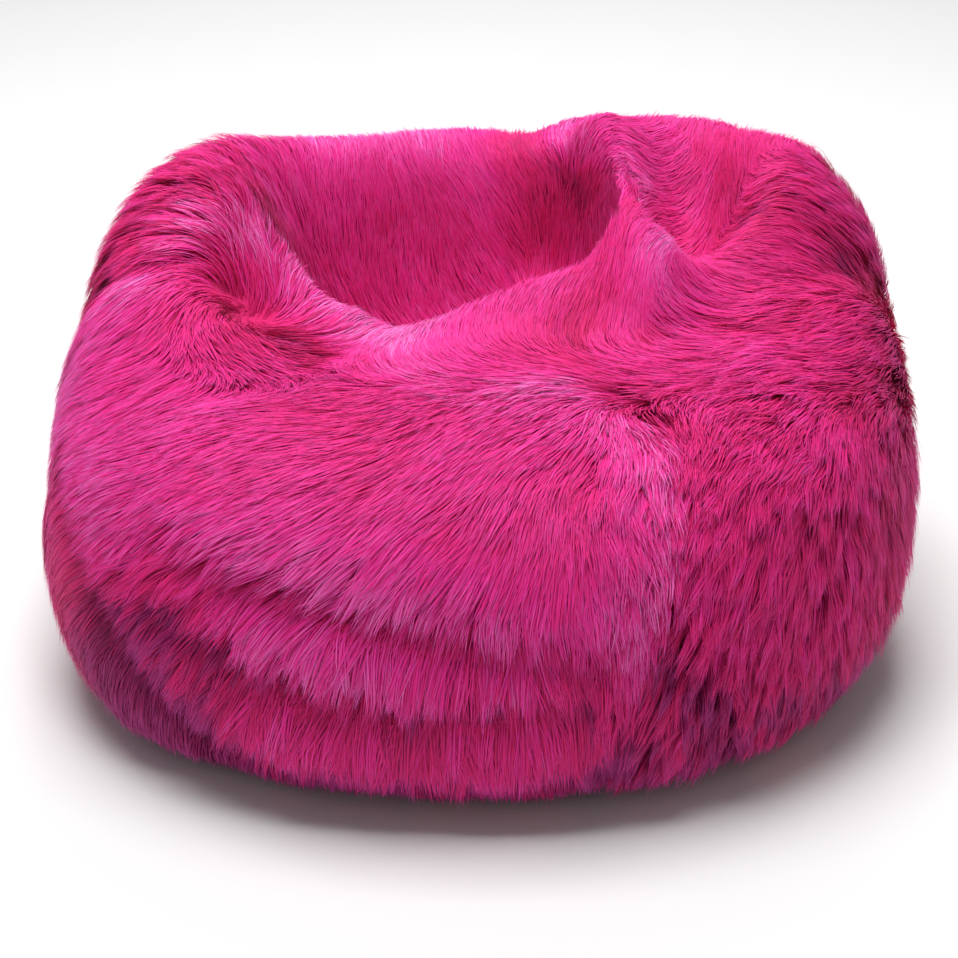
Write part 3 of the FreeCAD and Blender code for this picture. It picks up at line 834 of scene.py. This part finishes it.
def comb_paths(angle, way, length, turn, strokes):
    """Walks from each root along the surface where the comb lays the pile, in equal steps.
    Returns the points of the walk on the bare surface, their normals and the directions."""
    points, normals, directions = [], [], []
    step = length / (PATH_POINTS - 1)
    for _ in range(PATH_POINTS):
        per_angle, per_way = tangents(angle, way)
        place = bare_point(angle, way)
        swirl = heading(place, strokes) + turn
        normal = unit(np.cross(per_angle, per_way))
        down = -unit(per_way)
        aside = unit(np.cross(down, normal)) * -1.0
        course = down * np.cos(swirl)[..., None] + aside * np.sin(swirl)[..., None]
        points.append(place)
        normals.append(normal)
        directions.append(course)
        angle_size = np.sum(per_angle * per_angle, -1)
        way_size = np.sum(per_way * per_way, -1)
        shared = np.sum(per_angle * per_way, -1)
        along_angle = np.sum(course * per_angle, -1)
        along_way = np.sum(course * per_way, -1)
        scale = np.maximum(angle_size * way_size - shared * shared, 1e-9)
        angle_rate = (way_size * along_angle - shared * along_way) / scale
        angle = angle + step * np.clip(angle_rate, -MOST_TURN, MOST_TURN)
        way = way + step * (angle_size * along_way - shared * along_angle) / scale
        way = np.clip(way, 0.0, LAST_WAY)
    return np.stack(points, 1), np.stack(normals, 1), np.stack(directions, 1)


def grow_locks(angle, way, sizes, strokes, draw):
    """The middle line of each lock, with the lock's own frame along it. The line follows the
    comb, lifts off the backing towards its tip, crosses folds without going down into them and
    sinks a little under its own weight where the cover overhangs."""
    count = len(angle)
    root = bare_point(angle, way)
    matted = np.clip(spots(root, MATTED), 0.0, 1.0)
    hollow = smooth(*HOLLOW_FROM_TO, way)
    off_floor = smooth(0.0, SHORT_UP_TO, root[:, 2])
    length = sizes.pile_length * (LENGTH_AT_FLOOR + (1.0 - LENGTH_AT_FLOOR) * off_floor)
    length = length * (1.0 - LENGTH_LOSS[0] * hollow)
    length = length * (1.0 - LENGTH_LOSS[1] * matted) * draw.uniform(*LENGTH_VARIES, count)
    turn = draw.normal(0.0, 1.0, count) * (TURN_VARIES[0] + TURN_VARIES[1] * matted)
    x, y, z = root[:, 0], root[:, 1], root[:, 2]
    turn = turn + SWIRL * np.sin(31.0 * x + 23.0 * z) * np.cos(27.0 * y)
    points, normals, courses = comb_paths(angle, way, length, turn, strokes)
    share = np.linspace(0.0, 1.0, PATH_POINTS)[None, :]
    at_root = relief(root, angle, way)[:, None]
    height = -sizes.backing_depth + at_root * (1.0 - FOLD_BRIDGED * share)
    lift = sizes.pile_lift * (1.0 - LIFT_LOSS * hollow + LIFT_GAIN * matted)
    varies = LIFT_VARIES[0] + LIFT_VARIES[1] * matted
    lift = lift * (1.0 + varies * draw.uniform(-1.0, 1.0, count))
    lift = lift * (LIFT_AT_FLOOR + (1.0 - LIFT_AT_FLOOR) * off_floor)
    height = height + lift[:, None] * (1.6 * share - 0.6 * share ** 2)
    line = points + normals * height[..., None]
    overhang = smooth(*SAG_FACING, normals[:, 0, 2]) * (1.0 - off_floor * 0.2)
    sag = SAG * length[:, None] * overhang[:, None] * share ** 2
    line[..., 2] = line[..., 2] - sag
    return line, normals, courses, matted, at_root[:, 0]


def ribbons(line, normals, courses, matted, sizes, draw):
    """The fibres of the locks as narrow ribbons. Each starts at its own place round the lock's
    root and draws in towards the lock's middle line, the more so where the pile is matted.
    Returns their points and each point's shading normal: outwards, square to the lock's line,
    leaning a little to one side by an amount of the fibre's own."""
    locks = len(line)
    each = sizes.fibres_per_lock
    share = np.linspace(0.0, 1.0, PATH_POINTS)
    reach = sizes.lock_spacing * (ROOT_SPREAD[0] - ROOT_SPREAD[1] * matted)[:, None]
    reach = reach * np.sqrt(draw.uniform(0.0, 1.0, (locks, each)))
    bearing = draw.uniform(0.0, 2.0 * np.pi, (locks, each))
    aside = unit(np.cross(courses, normals))
    draw_in = (DRAW_IN[0] + DRAW_IN[1] * matted)[:, None, None]
    draw_in = draw_in * share[None, None, :] ** DRAW_IN_POWER
    draw_in = draw_in * draw.uniform(*DRAW_IN_VARIES, (locks, each))[..., None]
    spread = reach[..., None] * (1.0 - np.clip(draw_in, 0.0, 1.0))
    extent = draw.uniform(*EXTENT_VARIES, (locks, each))[..., None] * share[None, None, :]
    place = np.clip(extent * (PATH_POINTS - 1), 0.0, PATH_POINTS - 1 - 1e-6)
    before = place.astype(int)
    part = (place - before)[..., None]
    lock = np.arange(locks)[:, None, None]

    def along(values):
        """A lock's values at the ribbon's points, in proportion between the nearest two."""
        return values[lock, before] * (1.0 - part) + values[lock, before + 1] * part

    middle, side, up, course = along(line), along(aside), along(normals), along(courses)
    centre = middle + side * (spread * np.cos(bearing)[..., None])[..., None]
    centre = centre + course * (spread * np.sin(bearing)[..., None])[..., None]
    stray = draw.normal(0.0, 1.0, (locks, each, 3)) * STRAY
    centre = centre + stray[:, :, None, :] * (share ** 2)[None, None, :, None]
    fly = (draw.uniform(0.0, 1.0, (locks, each)) > FLY_FROM) * FLY_HEIGHT
    centre = centre + up * (fly[..., None] * (share ** 1.5)[None, None, :])[..., None]
    roll = draw.normal(0.0, ROLL, (locks, each))[..., None, None]
    flat = side * np.cos(roll) + up * np.sin(roll)
    width = sizes.fibre_width * draw.uniform(*WIDTH_VARIES, (locks, each))
    half = 0.5 * width[..., None] * RIBBON_SHAPE[None, None, :]
    offset = flat[:, :, :-1] * half[..., None]
    stem = centre[:, :, :-1]
    pairs = np.stack([stem + offset, stem - offset], 3)
    count = locks * each
    body = pairs.reshape(count, 2 * (PATH_POINTS - 1), 3)
    points = np.concatenate([body, centre[:, :, -1].reshape(count, 1, 3)], 1)
    points[..., 2] = np.maximum(points[..., 2], FLOOR_CLEARANCE)
    run = unit(np.gradient(line, axis=1))
    outwards = unit(normals - run * np.sum(normals * run, -1, keepdims=True))
    lean = side * draw.normal(0.0, LEAN, (locks, each))[..., None, None]
    shading = unit(along(outwards) + lean).reshape(count, PATH_POINTS, 3)
    return points, np.repeat(shading, 2, axis=1)[:, :-1]


def lock_tones(root, folds, matted, each, draw):
    """Brightness from 0 to 1 of each fibre: its region's painted light and shade, painted shade
    down in the folds and painted light on their swells, painted shade near the floor, with the
    lock's own shade and the fibre's own. Near the highlight lines some of the fibres get a
    painted highlight, much brighter than the rest of their lock."""
    locks = len(root)
    x, y, z = root[:, 0], root[:, 1], root[:, 2]
    waves = np.sin(19.0 * x - 11.0 * z + 1.0) * np.sin(17.0 * y + 2.0)
    shade = MIDDLE_TONE + spots(root, PAINTED_LIGHT_AND_SHADE) + WAVE_TONE * waves
    # Painted shade down in the folds and painted light on their swells.
    shade = shade + FOLD_PAINTED_SHADE_AND_LIGHT * np.minimum(folds, SWELL_PAINTED_LIGHT_LIMIT)
    shade = shade - NEAR_FLOOR_SHADE * (1.0 - smooth(*NEAR_FLOOR_FROM_TO, z))
    own_shade = LOCK_TONE_VARIES[0] + LOCK_TONE_VARIES[1] * matted
    shade = shade + draw.normal(0.0, 1.0, locks) * own_shade
    painted_highlight = np.zeros(locks)
    for path, reach, amount in HIGHLIGHT_LINES.values():
        painted_highlight = painted_highlight + amount * np.exp(-((line_distance(root, path) / reach) ** 2))
    own_highlight = draw.uniform(*HIGHLIGHT_VARIES, (locks, each)) ** HIGHLIGHT_POWER
    painted_highlight = np.minimum(painted_highlight, MOST_HIGHLIGHT)[:, None] * own_highlight
    varies = (FIBRE_TONE_VARIES[0] + FIBRE_TONE_VARIES[1] * matted)[:, None]
    tones = shade[:, None] + draw.normal(0.0, 1.0, (locks, each)) * varies
    return np.clip(tones + HIGHLIGHT_TONE * painted_highlight, *TONE_LIMITS)


def ribbon_mesh(name, points, normals, tones):
    """One mesh of all the ribbons: two quads and a pointed end each."""
    count, corners = points.shape[:2]
    base = (np.arange(count) * corners)[:, None]
    quads = np.concatenate([base + np.array([[k, k + 2, k + 3, k + 1]]) for k in (0, 2)])
    ends = base + np.array([[4, 6, 5]])
    along = np.repeat(np.linspace(0.0, 1.0, PATH_POINTS), 2)[:-1]
    uv = np.stack(np.broadcast_arrays(tones.reshape(-1, 1), along[None, :]), -1)
    uv = 0.01 + 0.98 * uv.reshape(-1, 2)
    flat = normals.reshape(-1, 3)
    return put_mesh(name, points.reshape(-1, 3), [quads, ends], uv, normals=flat)


def pile_band(name, angle, way, sizes, strokes, draw):
    """One band of pile: its locks' lines, the ribbons on them and the ribbons' brightness."""
    line, normals, courses, matted, folds = grow_locks(angle, way, sizes, strokes, draw)
    points, shading = ribbons(line, normals, courses, matted, sizes, draw)
    tones = lock_tones(line[:, 0], folds, matted, sizes.fibres_per_lock, draw)
    return ribbon_mesh(name, points, shading, tones)


# ---------------------------------------------------------------- cloth panels and beads

LINER_SPACE = 0.003
LINER_THICKNESS = 0.0012
LINER_FLOOR = 0.0092
BEAD_FLOOR = 0.0190
BACKING_FLOOR = 0.0008
SEAM_INSET = 0.0008
CAP_MARGIN = 0.004
BACKING_GRID = (60, 112)
LINER_GRID = (44, 84)
CAP_RINGS = (9, 72)
HEAP_RINGS = (90, 144)


def gore_panel(name, gore, under, thickness, lowest, grid):
    """One gore as a closed sheet that follows the folds, under the cover's face by a depth."""
    angle, way = gore_grid(gore, *grid, SEAM_INSET)
    outer = cover_point(angle, way, under)
    inner = cover_point(angle, way, under + thickness)
    outer[..., 2] = np.maximum(outer[..., 2], lowest)
    inner[..., 2] = np.maximum(inner[..., 2], lowest + 0.5 * thickness)
    return shell(name, outer, inner)


def rings_over(ways, around, under):
    """Closed rings round the bag, one at each way, under the cover's face by a depth."""
    angle = np.linspace(0.0, 2.0 * np.pi, around, endpoint=False)
    angle, way = np.broadcast_arrays(angle[None, :], np.asarray(ways)[:, None])
    return cover_point(angle, way, under)


def cap_panel(name, under, thickness):
    """The top cap: a small round sheet, closed over its edge and at its two middles."""
    levels, around = CAP_RINGS
    inwards = np.linspace(1.0, WAY_TO_MIDDLE - CAP_MARGIN, levels)
    upper = rings_over(inwards, around, under)
    lower = upper[::-1] - np.array([0.0, 0.0, thickness])
    rings = np.concatenate([lower, upper])
    return closed_form(name, rings, lower[0].mean(0), upper[-1].mean(0))


def bead_heap(name, under):
    """The beads as one closed heap: a flat bottom, then rings up the side and over the top."""
    levels, around = HEAP_RINGS
    sides = rings_over(np.linspace(0.03, WAY_TO_MIDDLE - CAP_MARGIN, levels), around, under)
    sides[..., 2] = np.maximum(sides[..., 2], BEAD_FLOOR)
    shares = np.linspace(0.1, 0.9, 6)[:, None, None]
    bottom = sides[0].mean(0) + (sides[0] - sides[0].mean(0)) * shares
    rings = np.concatenate([bottom, sides])
    return closed_form(name, rings, sides[0].mean(0), sides[-1].mean(0))


# Each base's zip line, half the width of its slot and its reach, height over the floor, cloth
# thickness, rise along the zip and cloth.
BASES = {
    "cover": {"line": 0.0, "slot": 0.007, "reach": 0.269, "low": 0.0006, "cloth": 0.0013,
              "rise": 0.0016, "made_of": "base_cloth"},
    "liner": {"line": -0.110, "slot": 0.006, "reach": 0.190, "low": 0.0093, "cloth": 0.0009,
              "rise": 0.0004, "made_of": "liner_cloth"},
}
# The two halves of a base and the side of the zip that each is on, towards +Y or -Y.
HALVES = {"back": 1, "front": -1}
BASE_GAP = 0.0007
RIM_POINTS = 1441
BASE_GRID = (220, 26)
GATHER = 1.4
STITCHES_FROM_RIM = 0.010
STITCHES_FROM_SLOT = 0.003
RISE_REACH = 0.030
STITCH_SPACING = 0.0052
STITCH_SIZE = (0.0036, 0.0009, 0.0007)
BINDING_RADII = (0.0055, 0.0022)
BINDING_MIDDLE = 0.0026
COIL_PITCH = 0.0015
COIL_REACH = 0.2415
COIL_MIDDLE = (0.00155, 0.0052)
COIL_RADII = (0.00068, 0.00048)
COIL_WIRE = 0.00024


def base_height(x, y, base):
    """Underside of a base cloth: level, with a slight ripple, and raised along the zip."""
    by_zip = np.exp(-(((y - base["line"]) / RISE_REACH) ** 2))
    ripple = np.sin(37.0 * x + 11.0 * y) * np.sin(43.0 * y - 9.0 * x)
    return base["low"] + base["rise"] * by_zip + 0.0002 * ripple


def base_rim(side, base, inset):
    """Points along the base's outline on one side of its zip, an inset in from the gores."""
    middle = 0.5 * np.pi if side > 0 else 1.5 * np.pi
    angle = np.linspace(middle - np.pi, middle + np.pi, RIM_POINTS)
    reach = BASE_SHARE * outline(angle) - inset
    x = reach * np.cos(angle) + CENTRE_SHIFT[0]
    y = reach * np.sin(angle) + CENTRE_SHIFT[1]
    chosen = side * (y - base["line"]) > 2.0 * BASE_GAP
    return x[chosen], y[chosen]


def base_panel(name, side, base):
    """Half a base panel as a closed sheet: straight runs of cloth from the outline in to the
    zip's line, which they stop short of by half the slot along its reach."""
    runs, along_run = BASE_GRID
    x, y = base_rim(side, base, 0.0)
    keep = np.linspace(0, len(x) - 1, runs).astype(int)
    x, y = x[keep], y[keep]
    inner_x = np.linspace(x[0], x[-1], len(x))
    short = np.where(np.abs(inner_x) < base["reach"], base["slot"], BASE_GAP)
    inner_y = base["line"] + side * short
    share = np.linspace(0.0, 1.0, along_run)[None, :] ** GATHER
    across = inner_x[:, None] + (x - inner_x)[:, None] * share
    along = inner_y[:, None] + (y - inner_y)[:, None] * share
    low = np.stack([across, along, base_height(across, along, base)], -1)
    high = low + np.array([0.0, 0.0, base["cloth"]])
    return shell(name, low, high)


def binding(name):
    """The binding sewn over the edge of the base: an oval tube along the base's outline."""
    angle = np.linspace(0.0, 2.0 * np.pi, 240, endpoint=False)[:, None]
    around = np.linspace(0.0, 2.0 * np.pi, 10, endpoint=False)[None, :]
    reach = BASE_SHARE * outline(angle) + BINDING_RADII[0] * np.cos(around)
    x = reach * np.cos(angle) + CENTRE_SHIFT[0]
    y = reach * np.sin(angle) + CENTRE_SHIFT[1]
    z = BINDING_MIDDLE + BINDING_RADII[1] * np.sin(around) + np.zeros_like(angle)
    index = np.arange(angle.size * around.size).reshape(angle.size, around.size)
    ahead = np.roll(index, -1, axis=0)
    quads = np.stack([index, ahead, np.roll(ahead, -1, axis=1), np.roll(index, -1, axis=1)], -1)
    return put_mesh(name, np.stack([x, y, z], -1).reshape(-1, 3), [quads.reshape(-1, 4)])


def even_places(x, y, spacing):
    """Places and directions at an even spacing along a line."""
    steps = np.hypot(np.diff(x), np.diff(y))
    length = np.concatenate([[0.0], np.cumsum(steps)])
    places = np.arange(0.5 * spacing, length[-1], spacing)
    px, py = np.interp(places, length, x), np.interp(places, length, y)
    ahead = np.minimum(places + 0.3 * spacing, length[-1])
    run = np.stack([np.interp(ahead, length, x) - px, np.interp(ahead, length, y) - py], -1)
    return px, py, unit(run)


def stitches(name, rows, base):
    """Rows of stitches on the underside of a base cloth, each a small eight-sided lozenge."""
    found = [even_places(x, y, STITCH_SPACING) for x, y in rows]
    px, py = (np.concatenate([row[k] for row in found]) for k in (0, 1))
    run = np.concatenate([row[2] for row in found])
    centre = np.stack([px, py, base_height(px, py, base)], -1)
    length, width, height = (0.5 * size for size in STITCH_SIZE)
    zero = np.zeros(len(px))
    ahead = np.stack([run[:, 0], run[:, 1], zero], -1) * length
    aside = np.stack([-run[:, 1], run[:, 0], zero], -1) * width
    up = np.array([0.0, 0.0, height])
    corners = [ahead, aside, -ahead, -aside, up + zero[:, None], -up + zero[:, None]]
    points = np.stack([centre + corner for corner in corners], 1)
    upper = [[k, (k + 1) % 4, 4] for k in range(4)]
    lower = [[(k + 1) % 4, k, 5] for k in range(4)]
    faces = (np.arange(len(px)) * 6)[:, None, None] + np.array(upper + lower)[None]
    return put_mesh(name, points.reshape(-1, 3), [faces.reshape(-1, 3)], None, False)


def stitch_rows(side, base):
    """The line of stitches inside the outline and the line beside the slot."""
    rim = base_rim(side, base, STITCHES_FROM_RIM)
    x = np.linspace(-base["reach"], base["reach"], 200)
    beside = base["line"] + side * (base["slot"] + STITCHES_FROM_SLOT)
    return [rim, (x, np.full(len(x), beside))]


def coil_row(name, side):
    """One row of zip coil: a flattened spiral of round wire along the zip."""
    turns = int(2.0 * COIL_REACH / COIL_PITCH)
    place = np.linspace(0.0, turns, turns * 6 + 1)
    turn = 2.0 * np.pi * place
    x = -COIL_REACH + COIL_PITCH * place
    y = side * COIL_MIDDLE[0] + COIL_RADII[0] * np.cos(turn)
    z = COIL_MIDDLE[1] + COIL_RADII[1] * np.sin(turn)
    centre = np.stack([x, y, z], -1)
    run = unit(np.gradient(centre, axis=0))
    radial = np.stack([np.zeros_like(turn), np.cos(turn), np.sin(turn)], -1)
    binormal = unit(np.cross(run, radial))
    radial = np.cross(binormal, run)
    around = np.linspace(0.0, 2.0 * np.pi, 4, endpoint=False)[None, :, None]
    rings = centre[:, None] + COIL_WIRE * (
        np.cos(around) * radial[:, None] + np.sin(around) * binormal[:, None])
    return closed_form(name, rings, centre[0], centre[-1])


# ---------------------------------------------------------------- the studio

FLOOR_REACH = 14.0
AIR_STRENGTH = 0.25
# Each light's place, the length of its side and its power in watts.
LIGHTS = {
    "key_light": ((-0.4, 0.0, 4.6), 2.6, 206.0),
    "back_light": ((0.3, 2.4, 3.0), 1.6, 24.0),
}
LIGHTS_AIM = (0.0, 0.0, 0.25)
CAMERA_DISTANCE = 2.5
CAMERA_DEGREES_UP = 26.8
CAMERA_TURNS_ABOUT = 0.22
CAMERA_AIM = (-0.0033, 0.0, 0.180)
CAMERA_LENS = 86.1
CAMERA_SENSOR = 36.0
CAMERA_SEES_TO = 60.0


# ---------------------------------------------------------------- operators


class MakeCover(bpy.types.Operator):
    """Makes the knitted backing of the four fur gores and of the top cap"""

    bl_idname = "bean_bag.make_cover"
    bl_label = "Cover backing"

    def execute(self, context):
        sizes, colours = context.scene.bean_bag_sizes, context.scene.bean_bag_colours
        # The backing is dyed in the roots' colour, the painted shade seen between the locks.
        backing = cloth_material("knitted_backing", tuple(colours.roots), dark_share=0.6,
                                 threads_per_metre=900)
        under = sizes.backing_depth
        for gore in GORES:
            piece = gore_panel("cover_backing_" + gore, gore, under, sizes.backing_thickness,
                               BACKING_FLOOR, BACKING_GRID)
            finish_piece(piece, backing)
            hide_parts("cover_gore_" + gore)
        cap = cap_panel("cover_backing_cap", under, sizes.backing_thickness)
        finish_piece(cap, backing)
        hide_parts("cover_top_cap")
        return {"FINISHED"}


class MakeLiner(bpy.types.Operator):
    """Makes the liner's gores and cap and the heap of beads inside them"""

    bl_idname = "bean_bag.make_liner"
    bl_label = "Liner and beads"

    def execute(self, context):
        sizes, colours = context.scene.bean_bag_sizes, context.scene.bean_bag_colours
        cloth = cloth_material("liner_weave", tuple(colours.liner_cloth), dark_share=0.82,
                               threads_per_metre=1100)
        under = sizes.backing_depth + sizes.backing_thickness + LINER_SPACE
        for gore in GORES:
            piece = gore_panel("liner_panel_" + gore, gore, under, LINER_THICKNESS,
                               LINER_FLOOR, LINER_GRID)
            finish_piece(piece, cloth)
            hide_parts("liner_gore_" + gore)
        cap = cap_panel("liner_panel_cap", under, LINER_THICKNESS)
        finish_piece(cap, cloth)
        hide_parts("liner_top_cap")
        heap = bead_heap("bean_heap", under + LINER_THICKNESS + LINER_SPACE)
        finish_piece(heap, bead_material(tuple(colours.beads)))
        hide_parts("bead_fill")
        return {"FINISHED"}


class GrowPile(bpy.types.Operator):
    """Grows the long pile over the gores in bands, combed, clumped and tinted, with painted light
    and shade
    """

    bl_idname = "bean_bag.grow_pile"
    bl_label = "Long pile"

    def execute(self, context):
        sizes, colours = context.scene.bean_bag_sizes, context.scene.bean_bag_colours
        fibre = pile_material(colours)
        strokes = stroke_table()
        draw = np.random.default_rng(SEED)
        start = 0
        for gore, tiers in TIERS.items():
            edges, total, ways = band_edges(gore, tiers)
            for band in range(tiers):
                angle, way = lock_roots(gore, edges[band], edges[band + 1], total, ways,
                                        sizes.lock_spacing, start)
                start += len(angle)
                name = "pile_%s_%d" % (gore, band + 1)
                piece = pile_band(name, angle, way, sizes, strokes, draw)
                finish_piece(piece, fibre)
            self.declare(gore, tiers)
        return {"FINISHED"}

    def declare(self, gore, tiers):
        """Does nothing with the gore and its number of bands."""


class MakeBases(bpy.types.Operator):
    """Makes the base panels with their stitching and the cover zip's coils, and gives the
    zips' other pieces their materials"""

    bl_idname = "bean_bag.make_bases"
    bl_label = "Base panels and zips"

    def execute(self, context):
        colours = context.scene.bean_bag_colours
        cloths = {
            "cover": cloth_material("base_cloth_weave", tuple(colours.base_cloth),
                                    dark_share=0.6, threads_per_metre=700),
            "liner": cloth_material("liner_base_weave", tuple(colours.liner_cloth),
                                    dark_share=0.82, threads_per_metre=1100),
        }
        for layer, base in BASES.items():
            for place, side in HALVES.items():
                piece = base_panel("%s_base_panel_%s" % (layer, place), side, base)
                finish_piece(piece, cloths[layer])
                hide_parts("%s_base_%s" % (layer, place))
        edge = binding("base_binding")
        finish_piece(edge, cloths["cover"])
        self.sew(colours)
        self.declare()
        self.dress_zips()
        return {"FINISHED"}

    def sew(self, colours):
        """The cover's base stitching, in a paler thread than the cloth."""
        thread = coil_material("base_thread", times(tuple(colours.base_cloth), 1.6))
        for place, side in HALVES.items():
            rows = stitch_rows(side, BASES["cover"])
            piece = stitches("base_stitches_" + place, rows, BASES["cover"])
            finish_piece(piece, thread)

    def declare(self):
        """Does nothing."""

    def dress_zips(self):
        """The cover zip's coils, and a material for each zip piece that stays as it is."""
        tape = cloth_material("cover_zip_tape_weave", ZIP_DYE, 0.7, 1500)
        liner_tape = cloth_material("liner_zip_tape_weave", LINER_TAPE_DYE, 0.8, 1500)
        coil = coil_material("cover_zip_nylon", ZIP_DYE)
        liner_coil = coil_material("liner_zip_nylon", LINER_COIL_DYE)
        metal = zip_metal_material()
        for place, side in HALVES.items():
            row = coil_row("cover_coil_teeth_" + place, side)
            finish_piece(row, coil)
            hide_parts("cover_zip_coil_" + place)
        choices = (("cover_zip_tape", tape), ("liner_zip_tape", liner_tape),
                   ("cover_zip_coil", coil), ("liner_zip_coil", liner_coil),
                   ("cover_zip", metal), ("liner_zip", metal))
        for name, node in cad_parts.items():
            for start, material in choices:
                if name.startswith(start):
                    paint(node, material)
                    break


class SetStage(bpy.types.Operator):
    """Sets the pale floor, the soft lights and the camera"""

    bl_idname = "bean_bag.set_stage"
    bl_label = "Studio"

    def execute(self, context):
        colours = context.scene.bean_bag_colours
        signs = np.array([(-1, -1, 0), (1, -1, 0), (1, 1, 0), (-1, 1, 0)])
        corners = FLOOR_REACH * signs
        floor = put_mesh("studio_floor", corners, [np.array([[0, 1, 2, 3]])], None, False)
        material, _, _, shader = new_material("floor_paper", 0.9, 0.1)
        shader.inputs["Base Color"].default_value = (*colours.floor, 1.0)
        paint(floor, material)
        world = bpy.data.worlds.new("studio_air")
        world.use_nodes = True
        air = world.node_tree.nodes["Background"]
        air.inputs["Color"].default_value = (1, 1, 1, 1)
        air.inputs["Strength"].default_value = AIR_STRENGTH
        context.scene.world = world
        for name, (place, side, power) in LIGHTS.items():
            self.add_light(context, name, place, side, power)
        self.add_camera(context)
        context.scene.view_settings.view_transform = "Standard"
        return {"FINISHED"}

    def add_light(self, context, name, place, side, power):
        """A square area light at a place, aimed at the middle of the bag."""
        light = bpy.data.lights.new(name, "AREA")
        light.size = side
        light.energy = power
        lamp = bpy.data.objects.new(name, light)
        context.scene.collection.objects.link(lamp)
        self.aim(lamp, place, LIGHTS_AIM)

    def add_camera(self, context):
        """The camera in front of the low front of the bag, looking down at it."""
        camera = bpy.data.cameras.new("studio_camera")
        camera.lens = CAMERA_LENS
        camera.sensor_width = CAMERA_SENSOR
        camera.clip_end = CAMERA_SEES_TO
        holder = bpy.data.objects.new("studio_camera", camera)
        context.scene.collection.objects.link(holder)
        tilt = np.radians(CAMERA_DEGREES_UP)
        back, up = CAMERA_DISTANCE * np.cos(tilt), CAMERA_DISTANCE * np.sin(tilt)
        self.aim(holder, (0.0, -back, CAMERA_TURNS_ABOUT + up), CAMERA_AIM)
        context.scene.camera = holder

    def aim(self, thing, place, target):
        """Puts a light or the camera at a place and turns it to face the target."""
        thing.location = place
        run = Vector(target) - Vector(place)
        thing.rotation_euler = run.to_track_quat("-Z", "Y").to_euler()


class BeanBagPanel(bpy.types.Panel):
    """Lists the sizes, the colours and the steps of making the bean bag"""

    bl_idname = "VIEW3D_PT_bean_bag"
    bl_label = "Bean Bag"
    bl_space_type = "VIEW_3D"
    bl_region_type = "UI"
    bl_category = "Bean Bag"

    def draw(self, context):
        layout = self.layout
        for group in (context.scene.bean_bag_sizes, context.scene.bean_bag_colours):
            box = layout.box()
            for name in group.__annotations__:
                box.prop(group, name)
        for operator in OPERATORS:
            layout.operator(operator.bl_idname)


OPERATORS = (MakeCover, MakeLiner, GrowPile, MakeBases, SetStage)
CLASSES = (BeanBagSizes, BeanBagColours, *OPERATORS, BeanBagPanel)


def register():
    """Adds the classes and the two groups of settings."""
    for each in CLASSES:
        bpy.utils.register_class(each)
    bpy.types.Scene.bean_bag_sizes = PointerProperty(type=BeanBagSizes)
    bpy.types.Scene.bean_bag_colours = PointerProperty(type=BeanBagColours)


def unregister():
    """Removes what register added."""
    del bpy.types.Scene.bean_bag_sizes
    del bpy.types.Scene.bean_bag_colours
    for each in reversed(CLASSES):
        bpy.utils.unregister_class(each)


def main():
    """Makes the whole bean bag."""
    register()
    bpy.ops.bean_bag.make_cover()
    bpy.ops.bean_bag.make_liner()
    bpy.ops.bean_bag.grow_pile()
    bpy.ops.bean_bag.make_bases()
    bpy.ops.bean_bag.set_stage()
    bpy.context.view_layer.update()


if __name__ == "__main__":
    main()
